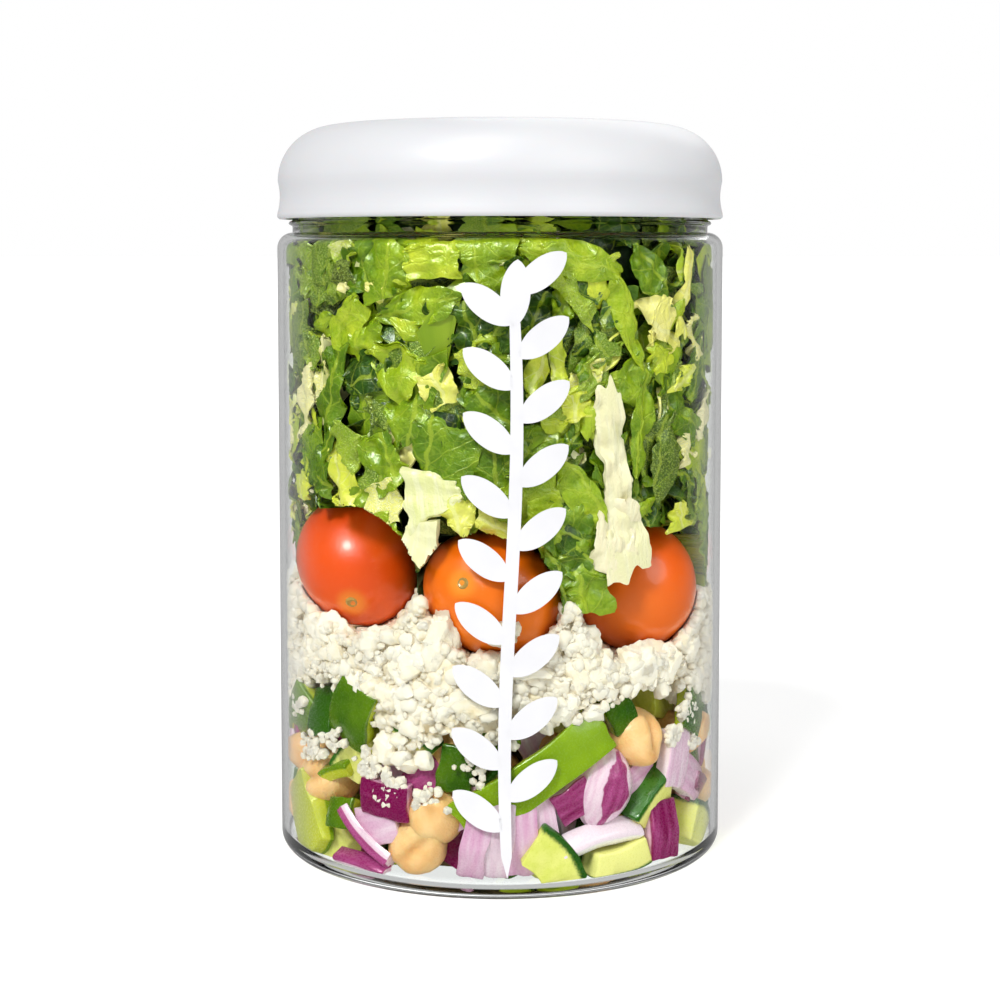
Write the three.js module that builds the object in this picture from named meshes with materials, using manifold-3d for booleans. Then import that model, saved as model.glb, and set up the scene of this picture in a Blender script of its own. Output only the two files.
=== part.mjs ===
// A mixed salad in its own clear jar: a straight-sided jar with a domed cap, filled in layers. From the
// floor up the layers are chickpeas with chopped vegetables, crumbled white cheese, a ring of small
// tomatoes, and chopped lettuce packed up into the cap.
// The origin is the middle of the jar's foot on the surface it stands on, +Z is up and -Y is the front.
// All lengths are in millimetres, and all angles are in degrees unless a name ends in Rad.
import * as THREE from "three";
import { mergeVertices } from "three/addons/utils/BufferGeometryUtils.js";
import Module from "manifold-3d";

// ---- Driving dimensions ----

const GAP = 0.3; // kept between two pieces that touch
const SECTORS = 36; // flats round the jar and the cap
const HEAP_SECTORS = 32; // flats round each heap of food
const ARC_STEPS = 2; // half the flats along each quarter round of a profile

// The jar
const JAR_R = 47.5; // outside of the straight wall
const JAR_WALL = 1.2;
const FLOOR_Z = 2.2; // the inside floor
const FLOOR_CORNER = 2.6; // inside radius between floor and wall
const HEEL = 3.2; // outside radius between foot and wall
const FOOT_INNER_R = 39.5; // where the flat foot ring starts
const PUSH_UP = 1; // how far the middle of the base stands clear
const SHOULDER_Z = 128.2; // where the straight wall ends
const SHOULDER = 3.3; // outside radius of the shoulder
const NECK_R = JAR_R - SHOULDER;
const BEAD_Z = 133.4; // the thin ring under the cap
const BEAD_OUT = 0.8;
const BEAD_HALF = 0.5;
const MOUTH_Z = 146;

// The cap
const CAP_RIM_Z = 134.3;
const CAP_RIM_R = 47.45;
const CAP_RIM_ROUND = 0.4;
const CAP_SKIRT_IN_R = 45.7; // inside of the skirt, clear of the neck
const CAP_SHELL = 1.6;
const CAP_SIDE_R = 47.3; // widest part above the waist
const CAP_WAIST_R = 46.8; // the shallow pinch in the skirt
const DOME_Z = 142.3; // where the side turns into the dome
const DOME_ROUND_R = 11.8; // the dome's rounded edge, across
const DOME_ROUND_H = 11.5; // the dome's rounded edge, up
const TOP_Z = 154.8; // the crown

// The food
const CHEESE_FLOOR_Z = 36.5;
const CHEESE_TOP_Z = 56.5;
const LETTUCE_EDGE_Z = 147.6; // where the heap meets the cap's dome
const LETTUCE_TOP_Z = 150;
const LUMP_DEPTH = 1.4; // how far the heaps' sides fall back from the wall
const HEAP_RINGS = 3; // rows of faces from a heap's axis to its side

// The tomatoes stand in a ring against the wall. bearing is counter-clockwise from +X, and lean turns the
// long axis out of level, counter-clockwise as seen from outside.
const TOMATOES = [
  { bearing: 209, height: 63.3, long: 14.7, short: 12.2, deep: 12.6, lean: -45 },
  { bearing: 267.4, height: 59.2, long: 14.3, short: 12.3, deep: 12.6, lean: -30 },
  { bearing: 325.6, height: 58.4, long: 13.6, short: 12.7, deep: 12.4, lean: 80 },
  { bearing: 25, height: 60.5, long: 14.4, short: 12.3, deep: 12.5, lean: 20 },
  { bearing: 86, height: 59.0, long: 13.8, short: 12.5, deep: 12.4, lean: -60 },
  { bearing: 147, height: 61.6, long: 14.2, short: 12.1, deep: 12.3, lean: 35 },
];
const TOMATO_SEGMENTS = 14;
const TOMATO_RINGS = 8;
const WINDOW_SHARE = 0.88; // how much of a tomato's outline the heaps leave open towards the wall

// ---- Finishes ----

const clearPlastic = new THREE.MeshStandardMaterial({
  color: 0xeef4f4,
  roughness: 0.05,
  metalness: 0,
  transparent: true,
  opacity: 0.25,
});
const capPlastic = new THREE.MeshStandardMaterial({ color: 0xf2f3f5, roughness: 0.3, metalness: 0 });
const lettuceLeaf = new THREE.MeshStandardMaterial({ color: 0x6d9a26, roughness: 0.5, metalness: 0 });
const tomatoSkin = new THREE.MeshStandardMaterial({ color: 0xe2521a, roughness: 0.25, metalness: 0 });
const whiteCheese = new THREE.MeshStandardMaterial({ color: 0xf4f0e4, roughness: 0.8, metalness: 0 });
const choppedMix = new THREE.MeshStandardMaterial({ color: 0xd9ae72, roughness: 0.6, metalness: 0 });

// ---- Helpers ----

const QUARTER = Math.PI / 2;
const wasm = await Module();
wasm.setup();

// A turned solid about +Z from a profile of (radius, height) points.
function turned(points, sectors = SECTORS) {
  const geometry = new THREE.LatheGeometry(points, sectors);
  geometry.rotateX(QUARTER);
  return geometry;
}

// A closed geometry as a manifold solid.
function toSolid(geometry) {
  const bare = geometry.clone();
  bare.deleteAttribute("normal");
  bare.deleteAttribute("uv");
  const merged = mergeVertices(bare, 1e-4);
  return new wasm.Manifold(
    new wasm.Mesh({
      numProp: 3,
      vertProperties: merged.attributes.position.array,
      triVerts: new Uint32Array(merged.index.array),
    }),
  );
}

// A manifold solid back as a geometry.
function toGeometry(solid) {
  const mesh = solid.getMesh();
  const geometry = new THREE.BufferGeometry();
  geometry.setAttribute("position", new THREE.BufferAttribute(mesh.vertProperties, 3));
  geometry.setIndex(new THREE.BufferAttribute(mesh.triVerts, 1));
  geometry.computeVertexNormals();
  return geometry;
}

// ---- The jar ----

// From the middle of the base, out round the foot and up the outside, over the mouth and down the inside.
function jarProfile() {
  const corner = JAR_R - JAR_WALL - FLOOR_CORNER;
  const shoulderInside = SHOULDER - JAR_WALL;
  const path = new THREE.Path();
  path.moveTo(0, PUSH_UP);
  path.lineTo(FOOT_INNER_R - PUSH_UP, PUSH_UP);
  path.lineTo(FOOT_INNER_R, 0);
  path.lineTo(JAR_R - HEEL, 0);
  path.absarc(JAR_R - HEEL, HEEL, HEEL, -QUARTER, 0, false);
  path.absarc(NECK_R, SHOULDER_Z, SHOULDER, 0, QUARTER, false);
  path.lineTo(NECK_R, BEAD_Z - BEAD_HALF);
  path.absellipse(NECK_R, BEAD_Z, BEAD_OUT, BEAD_HALF, -QUARTER, QUARTER, false);
  path.lineTo(NECK_R, MOUTH_Z);
  path.lineTo(NECK_R - JAR_WALL, MOUTH_Z);
  path.lineTo(NECK_R - JAR_WALL, SHOULDER_Z + shoulderInside);
  path.lineTo(NECK_R, SHOULDER_Z + shoulderInside);
  path.absarc(NECK_R, SHOULDER_Z, shoulderInside, QUARTER, 0, true);
  path.absarc(corner, FLOOR_Z + FLOOR_CORNER, FLOOR_CORNER, 0, -QUARTER, true);
  path.lineTo(0, FLOOR_Z);
  return path.getPoints(ARC_STEPS);
}

// ---- The cap ----

// From the underside of the crown out and down the inside, round the rim, and up the outside to the crown.
function capProfile() {
  const edgeR = CAP_SIDE_R - DOME_ROUND_R;
  const insideR = DOME_ROUND_R - CAP_SHELL;
  const insideH = DOME_ROUND_H - CAP_SHELL;
  const landR = NECK_R - JAR_WALL;
  const landAngleRad = Math.acos((landR - edgeR) / insideR);
  const path = new THREE.Path();
  path.moveTo(0, TOP_Z - CAP_SHELL);
  path.quadraticCurveTo(edgeR / 2, TOP_Z - CAP_SHELL, edgeR, DOME_Z + insideH);
  path.absellipse(edgeR, DOME_Z, insideR, insideH, QUARTER, landAngleRad, true);
  path.lineTo(landR, MOUTH_Z + GAP);
  path.lineTo(CAP_SKIRT_IN_R, MOUTH_Z + GAP);
  path.lineTo(CAP_SKIRT_IN_R, CAP_RIM_Z);
  path.lineTo(CAP_RIM_R - CAP_RIM_ROUND, CAP_RIM_Z);
  path.absarc(CAP_RIM_R - CAP_RIM_ROUND, CAP_RIM_Z + CAP_RIM_ROUND, CAP_RIM_ROUND, -QUARTER, 0, false);
  path.bezierCurveTo(CAP_WAIST_R, CAP_RIM_Z + 4, CAP_WAIST_R, DOME_Z - 2, CAP_SIDE_R, DOME_Z);
  path.absellipse(edgeR, DOME_Z, DOME_ROUND_R, DOME_ROUND_H, 0, QUARTER, false);
  path.quadraticCurveTo(edgeR / 2, TOP_Z, 0, TOP_Z);
  return path.getPoints(ARC_STEPS);
}

// ---- The tomatoes ----

// Turns a shape made about the origin, facing +X, to a tomato's lean and stands it in the tomato's place.
function placeAtTomato(geometry, { bearing, height, deep, lean }) {
  geometry.rotateX(THREE.MathUtils.degToRad(lean));
  geometry.translate(JAR_R - JAR_WALL - GAP - deep, 0, height);
  geometry.rotateZ(THREE.MathUtils.degToRad(bearing));
  return geometry;
}

// One oval tomato pressed against the wall, larger all round by grow.
function tomatoGeometry(tomato, grow = 0) {
  const geometry = new THREE.SphereGeometry(1, TOMATO_SEGMENTS, TOMATO_RINGS);
  geometry.scale(tomato.deep + grow, tomato.long + grow, tomato.short + grow);
  return placeAtTomato(geometry, tomato);
}

// The open space between a tomato and the wall, which no other food fills: an oval plug from the tomato's
// middle out past the wall.
function windowGeometry(tomato) {
  const reach = 2 * tomato.deep;
  const geometry = new THREE.CylinderGeometry(1, 1, reach, TOMATO_SEGMENTS);
  geometry.rotateZ(QUARTER);
  geometry.translate(reach / 2, 0, 0);
  geometry.scale(1, tomato.long * WINDOW_SHARE, tomato.short * WINDOW_SHARE);
  return placeAtTomato(geometry, tomato);
}

// ---- The heaps ----

// The two uneven borders between the layers, as a rise above their mean height. Both fade out towards
// the jar's axis.
function cheeseFloorRise(bearingRad, radius) {
  const bearing = (THREE.MathUtils.radToDeg(bearingRad) + 360) % 360;
  const ripple = 4 * Math.cos(4 * (bearingRad - THREE.MathUtils.degToRad(312)));
  const tongue = -11 * Math.exp(-(((bearing - 243) / 9) ** 2));
  return ((ripple + tongue) * radius) / JAR_R;
}

function cheeseTopRise(bearingRad, radius) {
  const tilt = 2 * Math.cos(bearingRad - THREE.MathUtils.degToRad(248));
  const ripple = 0.8 * Math.sin(7 * bearingRad);
  return ((tilt + ripple) * radius) / JAR_R;
}

// How far a heap's side falls back from the wall at one spot.
function lumpDepth(bearingRad, z) {
  const low = Math.sin(5 * bearingRad + z / 6);
  const high = Math.sin(11 * bearingRad - z / 4 + 2);
  return LUMP_DEPTH * (0.5 + 0.25 * low + 0.25 * high);
}

// A heap turned from an outline, then moved: its floor and top by the two rises, its side by the lumps.
// level says how high a point is between the floor (0) and the top (1).
function heapGeometry(outline, floorZ, topZ, floorRise, topRise) {
  const geometry = turned(outline, HEAP_SECTORS);
  const position = geometry.attributes.position;
  const fallBackFrom = (JAR_R * (HEAP_RINGS - 1)) / HEAP_RINGS;
  for (let i = 0; i < position.count; i++) {
    const x = position.getX(i);
    const y = position.getY(i);
    const z = position.getZ(i);
    const radius = Math.hypot(x, y);
    const bearingRad = Math.atan2(y, x);
    const level = THREE.MathUtils.clamp((z - floorZ) / (topZ - floorZ), 0, 1);
    const back = radius > fallBackFrom ? 1 - lumpDepth(bearingRad, z) / radius : 1;
    const rise = floorRise(bearingRad, radius) * (1 - level) ** 3 + topRise(bearingRad, radius) * level ** 3;
    position.setXYZ(i, x * back, y * back, z + rise);
  }
  return geometry;
}

const flat = () => 0;

// Points along a floor from the axis out to r, or the same inwards for a top.
function ringPoints(r, zAt, inwards = false) {
  const steps = Array.from({ length: HEAP_RINGS }, (_, i) => (inwards ? HEAP_RINGS - 1 - i : i) / HEAP_RINGS);
  return steps.map((t) => new THREE.Vector2(r * t, zAt(t)));
}

// Points up a straight side.
function sidePoints(r, fromZ, toZ, steps) {
  return Array.from({ length: steps + 1 }, (_, i) => new THREE.Vector2(r, fromZ + ((toZ - fromZ) * i) / steps));
}

const HEAP_R = JAR_R - JAR_WALL - GAP;
const NECK_HEAP_R = NECK_R - JAR_WALL - GAP;

function baseMixGeometry() {
  const bottom = FLOOR_Z + GAP;
  const top = CHEESE_FLOOR_Z - GAP / 2;
  const footR = HEAP_R - FLOOR_CORNER;
  const outline = [
    ...ringPoints(footR, () => bottom),
    new THREE.Vector2(footR, bottom),
    ...sidePoints(HEAP_R, bottom + FLOOR_CORNER, top, 4),
    ...ringPoints(HEAP_R, () => top, true),
  ];
  return heapGeometry(outline, bottom, top, flat, cheeseFloorRise);
}

function cheeseGeometry() {
  const bottom = CHEESE_FLOOR_Z + GAP / 2;
  const top = CHEESE_TOP_Z - GAP / 2;
  const outline = [
    ...ringPoints(HEAP_R, () => bottom),
    ...sidePoints(HEAP_R, bottom, top, 3),
    ...ringPoints(HEAP_R, () => top, true),
  ];
  return heapGeometry(outline, bottom, top, cheeseFloorRise, cheeseTopRise);
}

function lettuceGeometry() {
  const bottom = CHEESE_TOP_Z + GAP / 2;
  const crownAt = (t) => LETTUCE_TOP_Z - (LETTUCE_TOP_Z - LETTUCE_EDGE_Z) * t ** 6;
  const neckZ = SHOULDER_Z + SHOULDER - JAR_WALL;
  const outline = [
    ...ringPoints(HEAP_R, () => bottom),
    ...sidePoints(HEAP_R, bottom, SHOULDER_Z, 9),
    new THREE.Vector2(NECK_HEAP_R, neckZ - GAP),
    ...sidePoints(NECK_HEAP_R, neckZ + 5, LETTUCE_EDGE_Z, 2),
    ...ringPoints(NECK_HEAP_R, crownAt, true),
  ];
  return heapGeometry(outline, bottom, LETTUCE_TOP_Z, cheeseTopRise, flat);
}

// A heap with a hollow for every tomato that presses into it, open towards the wall.
function aroundTomatoes(geometry) {
  let solid = toSolid(geometry);
  for (const tomato of TOMATOES) {
    solid = solid.subtract(toSolid(tomatoGeometry(tomato, GAP)));
    solid = solid.subtract(toSolid(windowGeometry(tomato)));
  }
  return toGeometry(solid);
}

// ---- The whole ----

const group = new THREE.Group();

function addPiece(name, geometry, material) {
  const piece = new THREE.Mesh(geometry, material);
  piece.name = name;
  group.add(piece);
}

addPiece("jar", turned(jarProfile()), clearPlastic);
addPiece("cap", turned(capProfile()), capPlastic);
addPiece("base_mix", baseMixGeometry(), choppedMix);
addPiece("cheese", aroundTomatoes(cheeseGeometry()), whiteCheese);
addPiece("lettuce", aroundTomatoes(lettuceGeometry()), lettuceLeaf);
TOMATOES.forEach((tomato, i) => addPiece(`tomato_${i + 1}`, tomatoGeometry(tomato), tomatoSkin));

export default group;
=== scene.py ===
# %% [markdown]
# # A layered salad in a clear jar
#
# The object is a ready-made salad. A clear plastic jar holds four layers: chickpeas with
# chopped vegetables, crumbled white cheese, small tomatoes, and chopped lettuce up to the lid.
# A domed white cap closes the jar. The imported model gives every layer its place, and each cell
# below replaces one plain solid with the real thing.

# %% Load the frame
import math
import random

import bmesh
import bpy
from mathutils import Matrix, Vector, noise


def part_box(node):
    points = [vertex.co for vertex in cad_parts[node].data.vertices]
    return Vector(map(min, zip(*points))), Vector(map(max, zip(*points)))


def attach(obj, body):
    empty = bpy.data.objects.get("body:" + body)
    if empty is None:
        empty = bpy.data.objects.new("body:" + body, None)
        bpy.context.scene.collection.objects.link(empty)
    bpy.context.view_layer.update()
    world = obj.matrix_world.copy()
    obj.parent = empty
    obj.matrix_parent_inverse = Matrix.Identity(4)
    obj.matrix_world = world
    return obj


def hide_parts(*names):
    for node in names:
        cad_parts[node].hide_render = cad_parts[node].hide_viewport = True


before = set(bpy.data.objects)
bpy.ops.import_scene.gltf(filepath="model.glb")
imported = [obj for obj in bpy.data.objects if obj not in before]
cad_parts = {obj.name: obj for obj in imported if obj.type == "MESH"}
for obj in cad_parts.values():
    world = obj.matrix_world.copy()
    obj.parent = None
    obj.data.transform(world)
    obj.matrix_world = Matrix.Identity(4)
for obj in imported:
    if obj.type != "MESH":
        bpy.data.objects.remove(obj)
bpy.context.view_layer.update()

# %% [markdown]
# ## Sizes
#
# A jar is a turned shape, so a handful of radii and heights describe it. Shapes are worked out
# in millimetres, because kitchen things are easy to picture in them, and a piece is turned into
# metres once, when its mesh is written. The jar's width and the heights of cap and jar are read
# from the frame. The wall, floor and shoulder repeat the design's own values.

# %% Sizes of the jar and the layers
MM = 0.001
jar_low, jar_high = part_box("jar")
cap_low, cap_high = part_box("cap")
JAR_R = jar_high.x / MM - 0.06
MOUTH_Z = jar_high.z / MM
CAP_RIM_Z = cap_low.z / MM
CAP_TOP_Z = cap_high.z / MM
JAR_WALL = 1.2
WALL_IN_R = JAR_R - JAR_WALL
FLOOR_Z = 2.2
FLOOR_CORNER = 2.6
SHOULDER_Z = 128.2
SHOULDER_R = 44.2
SHOULDER_ROUND = 3.24
NECK_IN_R = 43.0
FOOD_TOP_Z = 148.0
AS_IT_IS = Matrix.Identity(4)
FULL_TURN = 6.283
print(f"jar radius {JAR_R:.2f} mm, mouth at {MOUTH_Z:.1f} mm, cap top at {CAP_TOP_Z:.1f} mm")

# %% The inside of the jar
def wall_radius(height):
    """The inner radius of the jar at a height, in millimetres."""
    corner_z = FLOOR_Z + FLOOR_CORNER
    if height < corner_z:
        drop = min(corner_z - height, FLOOR_CORNER)
        return WALL_IN_R - FLOOR_CORNER + math.sqrt(FLOOR_CORNER ** 2 - drop ** 2)
    inner_round = SHOULDER_ROUND - JAR_WALL
    if height > SHOULDER_Z:
        rise = min(height - SHOULDER_Z, inner_round)
        return max(NECK_IN_R, SHOULDER_R + math.sqrt(inner_round ** 2 - rise ** 2) - 0.1)
    return WALL_IN_R


def at_wall(bearing, height, depth, turn=0.0, tip=0.0, roll=0.0):
    """A place behind the wall: x points right along it, y up and z out through it.
    The bearing goes round from +X, so 270 is the front. The angles are in degrees."""
    angle = math.radians(bearing)
    out = Vector((math.cos(angle), math.sin(angle), 0.0))
    up = Vector((0.0, 0.0, 1.0))
    facing = Matrix((up.cross(out), up, out)).transposed().to_4x4()
    middle = out * (wall_radius(height) - depth) + up * height
    turned = Matrix.Rotation(math.radians(turn), 4, "Z")
    tipped = Matrix.Rotation(math.radians(tip), 4, "X")
    rolled = Matrix.Rotation(math.radians(roll), 4, "Y")
    return Matrix.Translation(middle) @ facing @ turned @ tipped @ rolled


def between(low, high, value):
    """0 below low, 1 above high, and a smooth rise between them."""
    share = min(1.0, max(0.0, (value - low) / (high - low)))
    return share * share * (3.0 - 2.0 * share)


print("inner radius at 3, 60 and 140 mm:", [round(wall_radius(z), 2) for z in (3, 60, 140)])

# %% [markdown]
# ## Camera, floor and light
#
# The jar stands on a plain white table in soft daylight from the upper left. Far soft lamps
# light the whole table alike, so that it stays white up to the horizon. All of them stand
# higher than the lens, because an upright glass wall then throws no lamp back at the camera.

# %% Camera
CAMERA_DISTANCE = 0.44
CAMERA_HEIGHT = 0.128
CAMERA_TILT = 4.5
camera_data = bpy.data.cameras.new("camera")
camera_data.sensor_width = 36.0
camera_data.lens = 73.7
camera_data.shift_y = -0.09
camera_data.clip_start = 0.01
camera = bpy.data.objects.new("camera", camera_data)
bpy.context.scene.collection.objects.link(camera)
camera.location = (0.0, -CAMERA_DISTANCE, CAMERA_HEIGHT)
camera.rotation_euler = (math.radians(90.0 - CAMERA_TILT), 0.0, 0.0)
bpy.context.scene.camera = camera
bpy.context.scene.view_settings.view_transform = "Standard"
bpy.context.scene.view_settings.look = "None"

# %% Floor
def new_piece(name, mesh):
    """Puts a mesh in the scene under its own name."""
    piece = bpy.data.objects.new(name, mesh)
    bpy.context.scene.collection.objects.link(piece)
    return piece


def plain_finish(name, colour, roughness, **sockets):
    """A principled material with its uniform values set on the shader itself."""
    material = bpy.data.materials.new(name)
    material.use_nodes = True
    shader = material.node_tree.nodes["Principled BSDF"]
    shader.inputs["Base Color"].default_value = (*colour, 1.0)
    shader.inputs["Roughness"].default_value = roughness
    for socket, value in sockets.items():
        shader.inputs[socket.replace("_", " ")].default_value = value
    return material, shader


floor_shape = bmesh.new()
bmesh.ops.create_grid(floor_shape, x_segments=1, y_segments=1, size=30.0)
floor_mesh = bpy.data.meshes.new("floor")
floor_shape.to_mesh(floor_mesh)
floor_shape.free()
floor = new_piece("floor", floor_mesh)
floor_white, floor_shader = plain_finish(
    "floor_white", (0.6, 0.6, 0.6), 0.9, Emission_Color=(1.0, 1.0, 1.0, 1.0), Emission_Strength=0.5
)
floor.visible_glossy = False
floor.visible_transmission = False
floor_mesh.materials.append(floor_white)

# %% Lights
LAMPS = {
    "key": ((-0.42, -0.85, 0.9), 13.0, 2.25),
    "top": ((-0.1, -0.3, 1.0), 24.0, 0.6),
    "fill": ((0.8, -0.75, 0.6), 40.0, 0.75),
    "back": ((0.3, 0.9, 0.7), 40.0, 0.45),
}
for lamp_name, (spot, softness, strength) in LAMPS.items():
    lamp = bpy.data.lights.new(lamp_name, "SUN")
    lamp.angle = math.radians(softness)
    lamp.energy = strength
    holder = bpy.data.objects.new(lamp_name, lamp)
    bpy.context.scene.collection.objects.link(holder)
    holder.location = spot
    holder.rotation_euler = (-Vector(spot)).to_track_quat("-Z", "Y").to_euler()

world = bpy.data.worlds.new("studio")
world.use_nodes = True
bpy.context.scene.world = world
backdrop = world.node_tree.nodes["Background"]
backdrop.inputs["Color"].default_value = (1.0, 1.0, 1.0, 1.0)
rays = world.node_tree.nodes.new("ShaderNodeLightPath").outputs


def sky_math(operation, *values):
    """A math node of the sky. Its inputs are numbers or other nodes' outputs."""
    node = world.node_tree.nodes.new("ShaderNodeMath")
    node.operation = operation
    for socket, value in zip(node.inputs, values):
        if isinstance(value, float):
            socket.default_value = value
        else:
            world.node_tree.links.new(value, socket)
    return node.outputs["Value"]


# The sky is white to the lens and through the plastic, dimmer in the plastic's own edges, and
# faint in wet food, so that no white veil lies over the colours.
bounces = sky_math("ADD", rays["Glossy Depth"], rays["Diffuse Depth"])
seen_directly = sky_math("LESS_THAN", bounces, 0.5)
in_plastic = sky_math("LESS_THAN", rays["Transmission Depth"], 2.5)
plastic_edge = sky_math("MULTIPLY", in_plastic, rays["Is Glossy Ray"])
strength = sky_math("MULTIPLY_ADD", plastic_edge, 0.5, seen_directly)
strength = sky_math("MULTIPLY_ADD", rays["Is Diffuse Ray"], 0.36, strength)
strength = sky_math("MULTIPLY_ADD", rays["Is Glossy Ray"], 0.03, strength)
world.node_tree.links.new(strength, backdrop.inputs["Strength"])
print("lamps:", ", ".join(LAMPS))

# %% [markdown]
# ## Shapes that are gathered into piles
#
# A salad has hundreds of small things. Each is shaped on its own in a small bmesh, and then
# they are joined into one mesh for each kind. A point keeps three notes for the materials:
# `grain` is where it lay before the shape was bent, so veins and fibres bend with it, `tone`
# is a number for the whole shape, and `rind` tells skin from flesh.

# %% A small shape with its notes
def new_shape():
    """An empty bmesh with the grain and rind notes."""
    shape = bmesh.new()
    shape.verts.layers.float_vector.new("grain")
    shape.verts.layers.float.new("rind")
    return shape


def notes(shape):
    """The layers that hold a shape's grain and rind."""
    return shape.verts.layers.float_vector["grain"], shape.verts.layers.float["rind"]


def bumps(x, y, z):
    """Smooth noise from -1 to 1 at a place."""
    return noise.noise(Vector((x, y, z)))


def as_form(shape):
    """Reads a bmesh into plain lists of points, grain, rind and faces, and frees it."""
    bmesh.ops.recalc_face_normals(shape, faces=shape.faces[:])
    shape.verts.index_update()
    grain, rind = notes(shape)
    points = [vert.co.copy() for vert in shape.verts]
    grains = [vert[grain].copy() for vert in shape.verts]
    rinds = [vert[rind] for vert in shape.verts]
    faces = [[vert.index for vert in face.verts] for face in shape.faces]
    shape.free()
    return points, grains, rinds, faces


# %% A pile of shapes
class Pile:
    """Many small shapes that become one mesh."""

    def __init__(self):
        self.points = []
        self.grains = []
        self.rinds = []
        self.tones = []
        self.faces = []
        self.count = 0

    def drop(self, form, place, tone, settle=None):
        """Adds a form at a place. settle moves single points, such as off the wall."""
        points, grains, rinds, faces = form
        first = len(self.points)
        for point, grain, rind in zip(points, grains, rinds):
            placed = place @ point
            if settle:
                placed = settle(placed)
            self.points.append(placed * MM)
            self.grains.extend((grain.x, grain.y, grain.z + 7.0 * self.count))
            self.rinds.append(rind)
            self.tones.append(tone)
        for face in faces:
            self.faces.append([first + corner for corner in face])
        self.count += 1

    def piece(self, name, material, slot, *nodes):
        """Writes the pile as one piece that stands for the given nodes."""
        mesh = bpy.data.meshes.new(name)
        mesh.from_pydata(self.points, [], self.faces)
        mesh.attributes.new("grain", "FLOAT_VECTOR", "POINT").data.foreach_set("vector", self.grains)
        mesh.attributes.new("tone", "FLOAT", "POINT").data.foreach_set("value", self.tones)
        mesh.attributes.new("rind", "FLOAT", "POINT").data.foreach_set("value", self.rinds)
        mesh.shade_smooth()
        mesh.set_sharp_from_angle(angle=math.radians(50.0))
        mesh.materials.append(material)
        piece = new_piece(name, mesh)
        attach(piece, "root")
        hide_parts(*nodes)
        triangles = sum(len(face) - 2 for face in self.faces)
        print(f"{name}: {self.count} shapes, {triangles} triangles")
        return piece


# %% [markdown]
# ## Materials from nodes
#
# Food is never one flat colour. Each finish mixes two or three colours by noise, veins or
# layers, and the same patterns make a fine relief. The helpers below keep the node work short:
# one makes a node, one a colour ramp, one the relief.

# %% Node helpers
class Finish:
    """One material and short ways to add nodes to it."""

    def __init__(self, name, colour, roughness, **sockets):
        self.material, self.shader = plain_finish(name, colour, roughness, **sockets)
        self.tree = self.material.node_tree

    def node(self, kind, inputs=None, **settings):
        """Adds a node. A tuple of a node and an output name in inputs becomes a link."""
        node = self.tree.nodes.new("ShaderNode" + kind)
        for key, value in settings.items():
            setattr(node, key, value)
        for key, value in (inputs or {}).items():
            if isinstance(value, tuple) and isinstance(value[0], bpy.types.Node):
                self.tree.links.new(value[0].outputs[value[1]], node.inputs[key])
            else:
                node.inputs[key].default_value = value
        return node

    def note(self, label):
        """Reads one of a shape's notes."""
        output = "Vector" if label == "grain" else "Fac"
        return (self.node("Attribute", attribute_name=label), output)

    def noise(self, vector, scale, detail=3.0):
        return (self.node("TexNoise", {"Vector": vector, "Scale": scale, "Detail": detail}), "Fac")

    def math(self, operation, first, second=0.0):
        return (self.node("Math", {0: first, 1: second}, operation=operation), "Value")

    def sway(self, value, share):
        """Noise about 0: the value less a half, times a share."""
        return self.math("MULTIPLY", self.math("SUBTRACT", value, 0.5), share)

    def rise(self, value, low, high, start=0.0, end=1.0):
        """A smooth step from start to end while the value goes from low to high."""
        limits = {"Value": value, "From Min": low, "From Max": high, "To Min": start, "To Max": end}
        return (self.node("MapRange", limits, interpolation_type="SMOOTHSTEP"), "Result")

    def ramp(self, value, *stops):
        """A colour ramp through (place, colour) stops."""
        node = self.node("ValToRGB", {"Fac": value})
        elements = node.color_ramp.elements
        while len(elements) < len(stops):
            elements.new(0.5)
        for element, (place, colour) in zip(elements, stops):
            element.position = place
            element.color = (*colour, 1.0)
        return (node, "Color")

    def mix(self, factor, first, second):
        node = self.node("Mix", data_type="RGBA")
        for index, value in ((0, factor), (6, first), (7, second)):
            if isinstance(value, tuple) and isinstance(value[0], bpy.types.Node):
                self.tree.links.new(value[0].outputs[value[1]], node.inputs[index])
            elif index:
                node.inputs[index].default_value = (*value, 1.0)
            else:
                node.inputs[index].default_value = value
        return (node, 2)

    def wear(self, colour=None, roughness=None, height=None, distance=0.0003, strength=1.0):
        """Joins colour, roughness and relief to the shader."""
        if colour:
            self.tree.links.new(colour[0].outputs[colour[1]], self.shader.inputs["Base Color"])
        if roughness:
            node, output = roughness
            self.tree.links.new(node.outputs[output], self.shader.inputs["Roughness"])
        if height:
            bump = self.node("Bump", {"Height": height, "Distance": distance, "Strength": strength})
            self.tree.links.new(bump.outputs["Normal"], self.shader.inputs["Normal"])
        return self.material


# %% [markdown]
# ## The clear jar
#
# The jar is blown plastic: a thin wall, a rounded heel on a narrow foot ring, a soft shoulder
# and a short neck with a thin ring under the cap. A lathe is the natural tool: half of the
# outline, outside and inside, is drawn once and spun round the axis.

# %% Drawing and spinning an outline
def arc(centre_r, centre_z, radius_r, radius_z, start, end, steps):
    """Points on an ellipse's arc in the outline's plane, angles in degrees from straight out."""
    points = []
    for step in range(steps + 1):
        angle = math.radians(start + (end - start) * step / steps)
        points.append((centre_r + radius_r * math.cos(angle), centre_z + radius_z * math.sin(angle)))
    return points


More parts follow.
